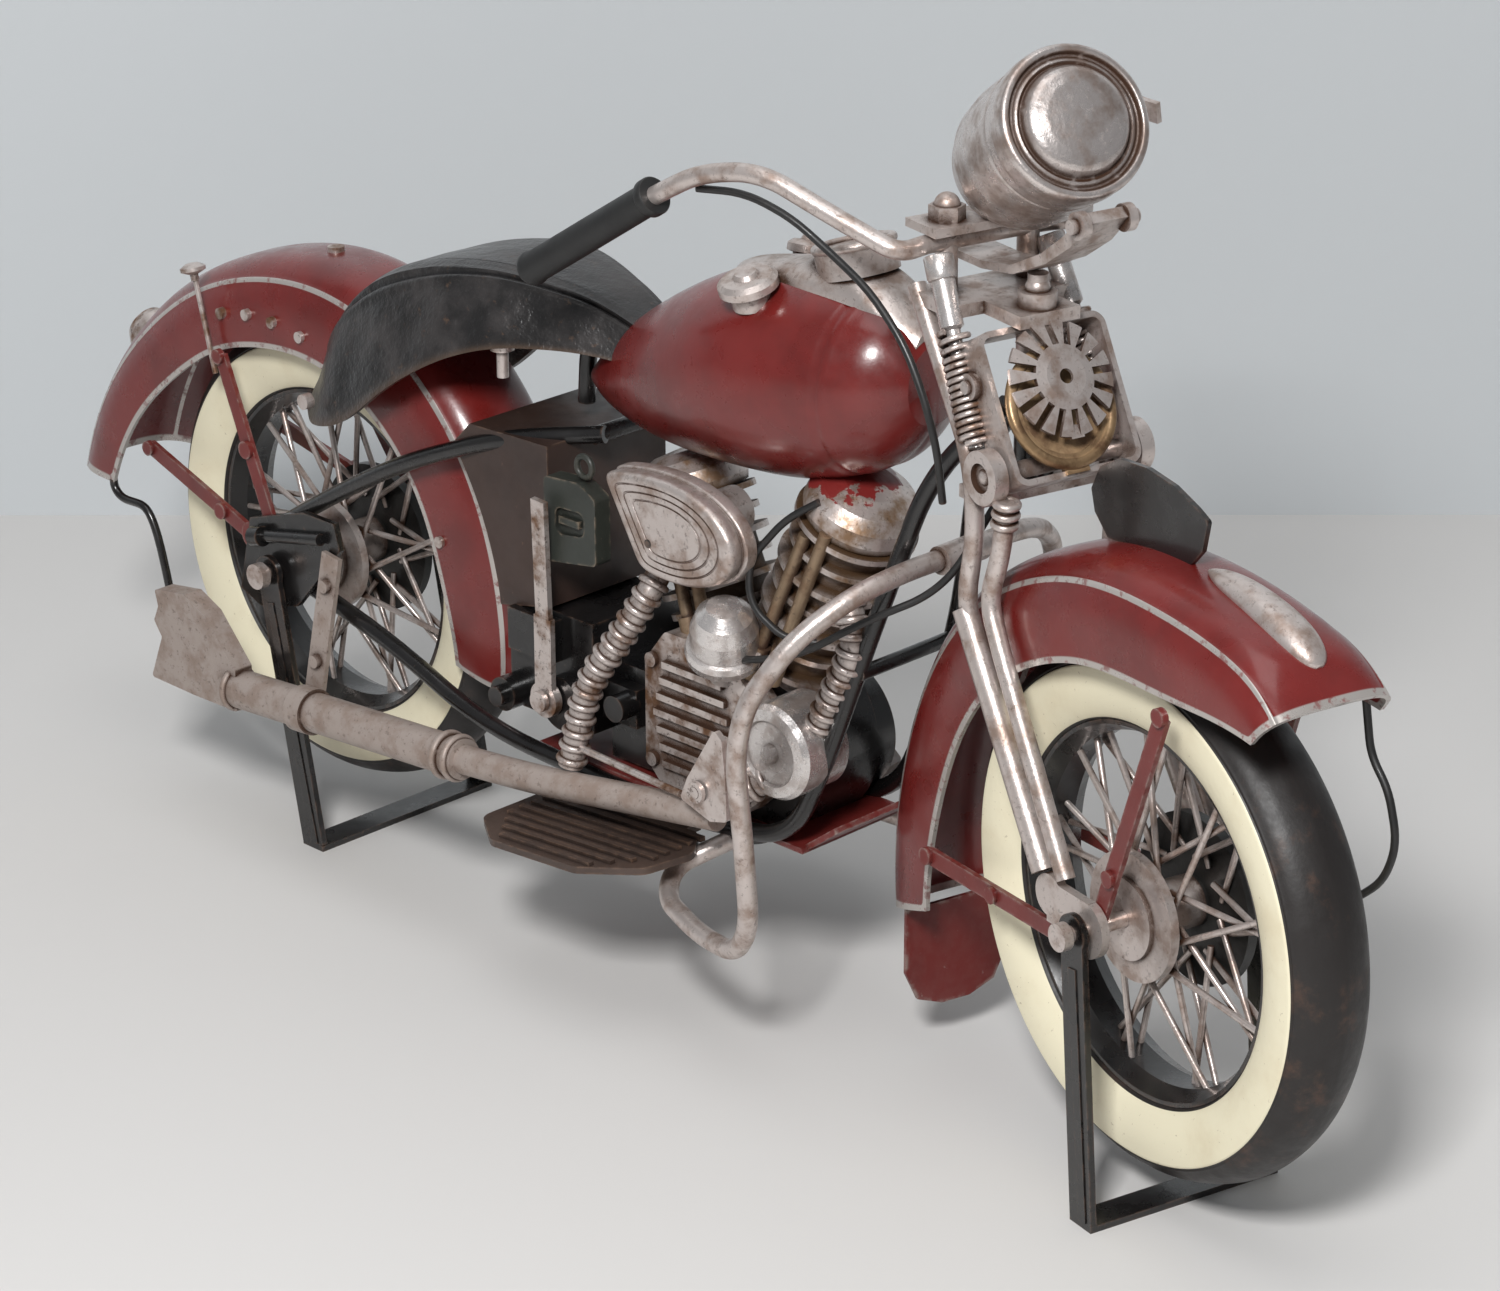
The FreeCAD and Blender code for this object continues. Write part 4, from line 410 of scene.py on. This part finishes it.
COATS = [
    (MAROON_PLAIN, "mudflap front_fender_struts rear_fender_struts skid_plate"),
    (BLACK, "main_frame axle_plates saddle_bracket crankcase gearbox front_rim rear_rim rear_clip front_stand "
            "rear_stand fender_plate"),
    (BROWN_BLACK, "side_panel"),
    (FOOT_BROWN, "footboards"),
    (RELAY, "relay_box"),
    (SILVER, "fork_rigid_legs fork_spring_legs fork_crown front_axle rear_axle handlebar headlight_bracket "
             "horn_bracket fender_trim tank_fittings air_cleaner crash_bar brake_pedal saddle_studs hand_lever"),
    (SILVER_HEADS, "cylinders"),
    (SILVER_GRIME_AND_SHADE, "timing_cover header_pipes kick_starter brake_linkage fender_fittings"),
    (SILVER_BRIGHT, "generator distributor"),
    (PIPE_GREY, "exhaust_pipe muffler muffler_bracket"),
    (BRONZE, "pushrod_tubes"),
    (SILVER_HORN, "horn"),
    (SPOKES_F, "front_hub_spokes"),
    (SPOKES_R, "rear_hub_spokes"),
    (CABLE, "cables steering_cables"),
]
for finish, names in COATS:
    for n in names.split():
        o = NODES[n]
        o.data.materials.clear()
        o.data.materials.append(finish)

# ------------------------------------------------------------------ wheels
half = [(43.9, 7.4), (45.0, 8.6), (47.2, 9.75), (50.0, 10.6), (53.0, 10.98), (55.6, 10.95), (56.6, 10.75),
        (57.0, 10.2), (57.4, 10.15), (57.9, 9.75), (59.2, 8.7), (60.6, 6.9), (61.6, 4.8), (62.35, 2.4), (62.7, 0.0)]
r = smooth(range(len(half)), [p[0] for p in half], np.linspace(0, len(half) - 1, 57))
y = smooth(range(len(half)), [p[1] for p in half], np.linspace(0, len(half) - 1, 57))
tread = np.concatenate([np.stack([r, y], 1), np.stack([r, -y], 1)[::-1][1:], [[43.9, -3.0], [43.9, 3.0]]])
TYRE_SEGMENTS = 160
on_side = (tread[:, 0] > 44.6) & (tread[:, 0] < 56.75) & (abs(tread[:, 1]) > 7.5)
band = np.repeat(on_side.astype(float)[:, None], TYRE_SEGMENTS, 1)
for prefix, centre, axis in (("front", FRONT, LEFT), ("rear", REAR, np.array([0, 1.0, 0]))):
    p = turned(tread, centre, axis, TYRE_SEGMENTS)
    rings(prefix + "_tyre_band", p, prefix + "_wheel", RUBBER, "tyre_rubber", wrap=True, marks={"band": band},
          replaces=[prefix + "_tyre"])


# ------------------------------------------------------------------ fenders
def fender(name, stations, to_metres, axle, body, node):
    """Crown r = edge + (crest - edge)*cos(t)^0.625 and width = w*sin(t)^0.625 over t = -90..90 degrees at each
    angle round the axle, with crest, edge and width splined along the angle; the inner face lies 1.1 mm in."""
    st = np.array(stations, float)
    ang = np.linspace(st[0, 0], st[-1, 0], 200)
    crest, edge, wide = (smooth(st[:, 0], st[:, k], ang)[:, None] for k in (1, 2, 3))
    t = np.linspace(-1, 1, 121)
    t = np.sign(t) * (1 - (1 - abs(t)) ** 1.25) * math.pi / 2
    s = np.sign(t) * abs(np.sin(t)) ** 0.625
    c = abs(np.cos(t)) ** 0.625
    a = np.radians(ang)[:, None]

    def face(thin, swell=0.0):
        across = (wide - thin) * s
        up = edge + (crest - thin - edge) * c + swell
        return to_metres(np.stack([axle[0] + up * np.cos(a), across, axle[1] + up * np.sin(a)], -1))

    line = np.exp(-((abs(np.degrees(t)) - 50) / 3.2) ** 2)
    outer = face(0.0, 0.45 * line[None])
    steps = np.linalg.norm(np.diff(outer, axis=1), axis=2)
    length = np.concatenate([np.zeros((len(ang), 1)), np.cumsum(steps, 1)], 1)
    rim = np.minimum(length, length[:, -1:] - length)
    ends = np.minimum(abs(ang - ang[0]), abs(ang - ang[-1]))[:, None] * 1.4e-3
    stripe = np.clip(1.6 - rim / 0.0013, 0, 1) + np.clip(1.6 - ends / 0.0014, 0, 1)
    stripe = np.clip(np.maximum(stripe, (line[None] > 0.62) * 1.0), 0, 1)
    return shell(name, outer, face(1.1), body, MAROON, "maroon_paint", marks={"stripe": stripe}, replaces=[node])


# Rows of angle round the axle in degrees, crest radius, edge radius and half-width.
fender("rear_fender_skin", [(-14, 78, 58, 15), (5, 79, 55, 17), (30, 79.5, 54, 17), (55, 80.5, 55, 17),
                            (80, 80.5, 56, 17), (105, 80, 57, 17), (125, 82, 60, 17), (143, 86, 64, 17),
                            (160, 92, 71, 17.5), (179, 100, 80, 18)],
       machine, (0, 74.1), "frame", "rear_fender")
fender("front_fender_skin", [(51.5, 86.5, 77.5, 17.5), (58, 88, 72, 17.3), (67, 86.4, 65.5, 17), (82, 83, 60, 17),
                             (100, 82, 58.5, 17), (120, 82.5, 58.5, 17), (140, 84, 60, 17), (160, 86, 62, 17),
                             (180, 90, 66, 17), (200, 96.5, 74, 17)],
       steered, (54.3, 69.6), "steering", "front_fender")

# ------------------------------------------------------------------ tank
# Rows of the way along, the middle's height, and the parts of the full half-height and half-width.
TANK_FROM, TANK_LONG, TANK_HALF_WIDE, TANK_HALF_HIGH = 96, 111, 23.5, 25.5
ALONG, ROUND = 120, 144
rows = np.array([(0.0, 144.5, 0.10, 0.13), (0.05, 146.2, 0.27, 0.28), (0.13, 149.0, 0.48, 0.47),
                 (0.26, 153.2, 0.72, 0.70), (0.42, 158.0, 0.91, 0.90), (0.58, 161.4, 1.0, 1.0),
                 (0.72, 163.2, 0.98, 0.98), (0.86, 165.4, 0.85, 0.87), (0.95, 167.0, 0.64, 0.66),
                 (1.0, 168.2, 0.38, 0.4)])
q = 0.5 - 0.5 * np.cos(np.linspace(0, math.pi, ALONG))
mid, high, wide = (smooth(rows[:, 0], rows[:, k], q)[:, None] for k in (1, 2, 3))
t = np.linspace(0, 2 * math.pi, ROUND, endpoint=False)
seam = (1 - 0.020 * np.exp(-((q - 0.835) / 0.0075) ** 2)[:, None]
        + 0.010 * np.exp(-((q - 0.850) / 0.010) ** 2)[:, None])
split = 1 - 0.035 * np.exp(-((abs(np.angle(np.exp(1j * (t + math.pi / 2))))) / 0.07) ** 2)
up = np.sign(np.sin(t)) * abs(np.sin(t)) ** 0.92
p = np.stack([np.broadcast_to(TANK_FROM + TANK_LONG * q[:, None], (ALONG, ROUND)),
              TANK_HALF_WIDE * wide * np.cos(t) * seam,
              mid + TANK_HALF_HIGH * high * up * seam * split], -1)
rings("tank_skin", machine(p), "frame", MAROON, "maroon_paint", marks={"stripe": np.zeros((ALONG, ROUND))},
      replaces=["fuel_tank"])

# ------------------------------------------------------------------ saddle
# Rows of the way along, the top's height, the part of the full half-width, and the hem's height.
rows = np.array([(0.0, 129.0, 0.66, 119.5), (0.05, 138.0, 0.80, 118.0), (0.10, 145.5, 0.91, 118.5),
                 (0.16, 152.5, 0.98, 120.0), (0.22, 157.8, 1.0, 122.5), (0.35, 164.8, 0.99, 133),
                 (0.50, 169.3, 0.93, 144.0), (0.64, 170.9, 0.81, 151.0), (0.78, 169.8, 0.64, 154),
                 (0.91, 166.8, 0.46, 154.5), (1.0, 163.0, 0.36, 154.0)])
q = np.linspace(0, 1, 190)
top, wide, edge = (smooth(rows[:, 0], rows[:, k], q)[:, None] for k in (1, 2, 3))
t = np.linspace(-1, 1, 181)
# Across half of the seat: a nearly flat top, a sewn shoulder, and a skirt that flares to the hem.
bend = np.array([(0.0, 0.0, 1.0), (0.30, 0.32, 0.995), (0.52, 0.585, 0.955), (0.60, 0.675, 0.885),
                 (0.66, 0.735, 0.785), (0.78, 0.845, 0.50), (0.90, 0.945, 0.20), (1.0, 1.0, 0.0)])
out_to = np.sign(t) * smooth(bend[:, 0], bend[:, 1], abs(t))
rise = smooth(bend[:, 0], bend[:, 2], abs(t))
seam = np.exp(-((abs(t) - 0.585) / 0.012) ** 2) * np.ones((190, 1))
welt = np.exp(-((abs(t) - 0.625) / 0.020) ** 2) + 0.7 * np.exp(-((abs(t) - 0.545) / 0.022) ** 2)
lip = np.exp(-((1 - abs(t)) / 0.035) ** 2) * np.ones((190, 1))
folds = (0.30 * np.sin(34 * q[:, None] + 4 * t) * np.exp(-((abs(t) - 0.80) / 0.14) ** 2)
         + 0.35 * np.sin(9 * q[:, None] + 2.4 * t) * (abs(t) < 0.55))


def seat(thin, relief):
    """Half-width w times the bend's reach, and edge + (top - edge) times its rise, with grooves laid on
    along both."""
    across = (29 * wide - thin) * out_to + relief * 0.75 * np.sign(t) * (abs(t) > 0.4)
    high = edge + (top - thin - edge) * rise + relief * 0.75
    return machine(np.stack([np.broadcast_to(6 + 109 * q[:, None], across.shape), across, high], -1))


relief = -0.85 * seam + 0.55 * welt + 0.35 * lip + folds - 0.55
shell("saddle_cover", seat(0.0, relief), seat(2.2, 0.0), "frame", LEATHER, "seat_covering",
      marks={"seam": seam, "hem": lip}, replaces=["saddle"])

# ------------------------------------------------------------------ air cleaner
# A leaning D: the nose is one cubic curve B(u) between two corners, the back edge is straight; each ring is the
# outline drawn in about its middle and set at its own depth.
ends = np.array([(127.8, 135.7), (182.0, 149.0), (188.0, 106.6), (140.9, 113.5)])
u = np.linspace(0, 1, 90)[:, None]
nose = (1 - u) ** 3 * ends[0] + 3 * u * (1 - u) ** 2 * ends[1] + 3 * u * u * (1 - u) * ends[2] + u ** 3 * ends[3]
back = ends[3] + (ends[0] - ends[3]) * np.linspace(0, 1, 26)[1:-1, None]
outline = np.concatenate([nose, back])
for _ in range(5):
    outline = 0.25 * np.roll(outline, 1, 0) + 0.5 * outline + 0.25 * np.roll(outline, -1, 0)
heart = np.array([151.0, 126.0])
steps = [(0.96, -22.6), (0.995, -22.9), (1.0, -23.4), (1.0, -26.0), (0.985, -26.4), (0.955, -26.6), (0.950, -26.9),
         (0.965, -27.3), (0.968, -29.4), (0.955, -30.3), (0.92, -30.9), (0.875, -31.1), (0.800, -31.1),
         (0.790, -30.85), (0.775, -30.85), (0.765, -31.15), (0.665, -31.15), (0.655, -30.9), (0.640, -30.9),
         (0.630, -31.2), (0.535, -31.2), (0.520, -30.95), (0.505, -30.95), (0.495, -31.2), (0.25, -31.2),
         (0.03, -31.2)]
p = np.array([np.stack([heart[0] + k * (outline[:, 0] - heart[0]), np.full(len(outline), y),
                        heart[1] + k * (outline[:, 1] - heart[1])], -1) for k, y in steps])
rings("air_cleaner_shell", machine(p), "frame", SILVER, "aged_silver", replaces=["air_cleaner"])
neck = [(0.3, 0), (6.0, 0), (6.0, 15.6), (6.6, 16.0), (6.6, 16.8), (0.3, 16.9)]
rings("air_cleaner_neck", turned(neck, machine((150, -7, 125)), (0, -1, 0), 48), "frame", SILVER_GRIME_AND_SHADE, "aged_silver")
# Painted shade: a thin black disc stands in for the dark inside of the hole.
pit = [(0.2, 0.0), (1.1, 0.0), (1.1, 0.25), (0.9, 0.3), (0.2, 0.3)]
rings("air_cleaner_hole", turned(pit, machine((144.6, -31.0, 121.4)), (0, -1, 0), 24), "frame", BLACK, "black_paint")

# ------------------------------------------------------------------ headlight
LT, LY = math.radians(30.0), math.radians(-10.7)
aim = AHEAD * math.cos(LT) * math.cos(LY) + LEFT * math.cos(LT) * math.sin(LY) + np.array([0, 0, math.sin(LT)])
lamp_at = steered((11.6, 0.0, 237.5))
R, D = 17.4, 43.0
bowl = [(0.3, -D), (R * 0.34, -D + 0.5), (R * 0.60, -D + 2.4), (R * 0.80, -D + 6.4), (R * 0.92, -D + 13),
        (R * 0.97, -D + 21), (R * 0.975, -10), (R * 0.972, -9.4), (R * 0.955, -9.0), (R * 0.972, -8.6),
        (R * 0.975, -8), (R * 0.975, -5.4), (R * 0.985, -4.9), (R, -4.4), (R, 0.2), (R * 0.985, 1.1),
        (R * 0.95, 1.6), (R * 0.90, 1.75), (R * 0.875, 1.2), (R * 0.86, 0.4), (R * 0.83, 0.3), (R * 0.80, 0.9),
        (R * 0.765, 1.2), (R * 0.735, 0.7), (R * 0.72, 0.7), (R * 0.70, 2.0), (R * 0.66, 3.2), (R * 0.60, 3.9),
        (R * 0.45, 4.75), (R * 0.25, 5.3), (R * 0.1, 5.5), (0.3, 5.5)]
bowl = np.array(bowl)
step = np.concatenate([[0], np.cumsum(np.maximum(np.linalg.norm(np.diff(bowl, axis=0), axis=1), 1e-6))])
fine = np.unique(np.concatenate([step, np.linspace(0, step[-1], 130)]))
lamp = np.stack([np.interp(fine, step, bowl[:, 0]), np.interp(fine, step, bowl[:, 1])], 1)
soft = lamp.copy()
soft[1:-1] = 0.25 * lamp[:-2] + 0.5 * lamp[1:-1] + 0.25 * lamp[2:]
rings("headlight_bowl", turned(soft, lamp_at, aim, 144), "steering", SILVER_LAMP, "aged_silver",
      replaces=["headlight"])

# ------------------------------------------------------------------ grips
along = np.array([-40.1, -10.5, -26.5])
along /= np.linalg.norm(along)
grip = [(2.25, 0.2), (4.3, 0.0), (4.6, 0.4), (4.6, 2.2), (4.3, 2.6), (3.75, 2.9), (3.85, 6), (3.9, 24),
        (3.9, 46.8), (4.2, 47.4), (4.25, 48.4), (3.9, 49.1), (0.3, 49.2)]
for s, tag in ((-1, "right"), (1, "left")):
    d = AHEAD * along[0] - LEFT * s * along[1] + np.array([0, 0, along[2]])
    rings("grip_" + tag, turned(grip, steered((-73.8, s * 53.5, 208.6)), d, 64), "steering", GRIP, "grip_black",
          replaces=["grips"] if s < 0 else ())

# ------------------------------------------------------------------ fork springs
for s, tag in ((-1, "right"), (1, "left")):
    a = steered((-17.0, s * 15.0, 203.0))
    b = steered((3.6, s * 18.0, 164.5))
    d = b - a
    long = np.linalg.norm(d) * 1000
    core = [(0.3, 0), (3.1, 0), (3.4, 0.4), (3.4, 5.0), (3.2, 5.5), (2.7, 5.7), (2.7, 16.2), (2.2, 16.6),
            (1.7, 17), (1.7, long - 0.4), (0.3, long)]
    rings("spring_rod_" + tag, turned(core, a, d, 48), "steering", SILVER_BRIGHT, "aged_silver",
          replaces=["fork_springs"] if s < 0 else ())
    k = np.linspace(0, 1, 620)
    # Three open turns over the lower quarter and twelve close ones above them.
    turn = 2 * math.pi * (3.0 * np.clip(k / 0.25, 0, 1) + 12.0 * np.clip((k - 0.25) / 0.75, 0, 1))
    at = 17.2 + (long - 18.6) * k
    unit = d / np.linalg.norm(d)
    side = np.cross(unit, [0.3, 0.2, 0.9])
    side /= np.linalg.norm(side)
    up = np.cross(unit, side)
    path = a + unit * (at * 0.001)[:, None] + 0.0031 * (np.cos(turn)[:, None] * side + np.sin(turn)[:, None] * up)
    rings("spring_coil_" + tag, piped(path, 0.72, 10), "steering", SILVER_GRIME_AND_SHADE, "aged_silver")

# ------------------------------------------------------------------ rear clip
clip = np.array([(-81.0, -17.2, 76.0), (-80.4, -17.2, 73.5), (-76.8, -17.2, 71.5), (-70.5, -17.2, 71.6),
                 (-65.8, -17.2, 69.8), (-61.9, -17.2, 61.8), (-58.6, -17.2, 49.5), (-57.2, -17.2, 44.0)])
k = np.linspace(0, len(clip) - 1, 72)
path = np.stack([smooth(range(len(clip)), clip[:, a], k) for a in range(3)], -1)
rings("rear_clip_strip", piped(machine(path), 1.15, 16), "frame", BLACK, "black_paint", replaces=["rear_clip"])

# ------------------------------------------------------------------ camera, floor, light
YAW, PITCH, ROLL = 2.352745, -0.395045, -0.002986
look = np.array([math.cos(PITCH) * math.cos(YAW), math.cos(PITCH) * math.sin(YAW), math.sin(PITCH)])
right = np.cross(look, [0, 0, 1.0])
right /= np.linalg.norm(right)
above = np.cross(right, look)
right, above = right * math.cos(ROLL) + above * math.sin(ROLL), above * math.cos(ROLL) - right * math.sin(ROLL)
eye = machine((844.74, -700.81, 493.29))
cam = bpy.data.cameras.new("Camera")
cam.sensor_width = 36.0
cam.lens = 106.16
cam.shift_x = -0.0029
cam.shift_y = 0.0158
cam.clip_start = 0.05
view = bpy.data.objects.new("Camera", cam)
bpy.context.scene.collection.objects.link(view)
view.matrix_world = Matrix([[right[k], above[k], -look[k], eye[k]] for k in range(3)] + [[0, 0, 0, 1]])
bpy.context.scene.camera = view


def card(name, corners, colour, rough, one_sided=False):
    """A flat sheet of the set; a one-sided sheet can't be seen, and casts no shadow, from its back."""
    mesh = bpy.data.meshes.new(name)
    mesh.from_pydata([tuple(c) for c in corners], [], [(0, 1, 2, 3)])
    o = bpy.data.objects.new(name, mesh)
    bpy.context.scene.collection.objects.link(o)
    f = Finish(name)
    f.done((*colour, 1.0), rough, specular=0.2)
    if one_sided:
        pick = f.node("ShaderNodeMixShader")
        f.link(f.node("ShaderNodeNewGeometry").outputs["Backfacing"], pick.inputs[0])
        f.link(f.shader.outputs[0], pick.inputs[1])
        f.link(f.node("ShaderNodeBsdfTransparent").outputs[0], pick.inputs[2])
        f.link(pick.outputs[0], f.t.nodes["Material Output"].inputs["Surface"])
    mesh.materials.append(f.mat)


foot = machine((-79.1, 227.7, 0))
run = np.array([0.7147, 0.6994, 0])
out = np.array([0.6994, -0.7147, 0])
SIDEWAYS, FORWARD, BEHIND, WALL_HIGH = 3, 4, 3, 2.5
near, far = foot - run * SIDEWAYS, foot + run * SIDEWAYS
up = np.array([0, 0, WALL_HIGH])
card("Floor", [near - out * BEHIND, near + out * FORWARD, far + out * FORWARD, far - out * BEHIND],
     (0.66, 0.645, 0.63), 0.6)
card("Wall", [near, far, far + up, near + up], (0.60, 0.625, 0.64), 0.7, one_sided=True)


def lamp_card(name, place, target, size, power, colour=(1, 1, 1)):
    light = bpy.data.lights.new(name, "AREA")
    light.size = size
    light.energy = power
    light.color = colour
    o = bpy.data.objects.new(name, light)
    bpy.context.scene.collection.objects.link(o)
    z = np.asarray(place, float) - np.asarray(target, float)
    z /= np.linalg.norm(z)
    x = np.cross([0, 0, 1.0], z)
    x /= np.linalg.norm(x)
    y = np.cross(z, x)
    o.matrix_world = Matrix([[x[k], y[k], z[k], place[k]] for k in range(3)] + [[0, 0, 0, 1]])


middle = np.array([0, 0, 0.11])
lamp_card("Key", eye - right * 0.16 + above * 0.34, middle, 0.20, 11.4)
lamp_card("Top", middle + np.array([0.1, -0.2, 1.3]), middle, 0.8, 3.4)
world = bpy.data.worlds.new("Room")
bpy.context.scene.world = world
world.use_nodes = True
world.node_tree.nodes["Background"].inputs[0].default_value = (0.86, 0.89, 0.93, 1)
world.node_tree.nodes["Background"].inputs[1].default_value = 0.25
bpy.context.scene.view_settings.view_transform = "Standard"
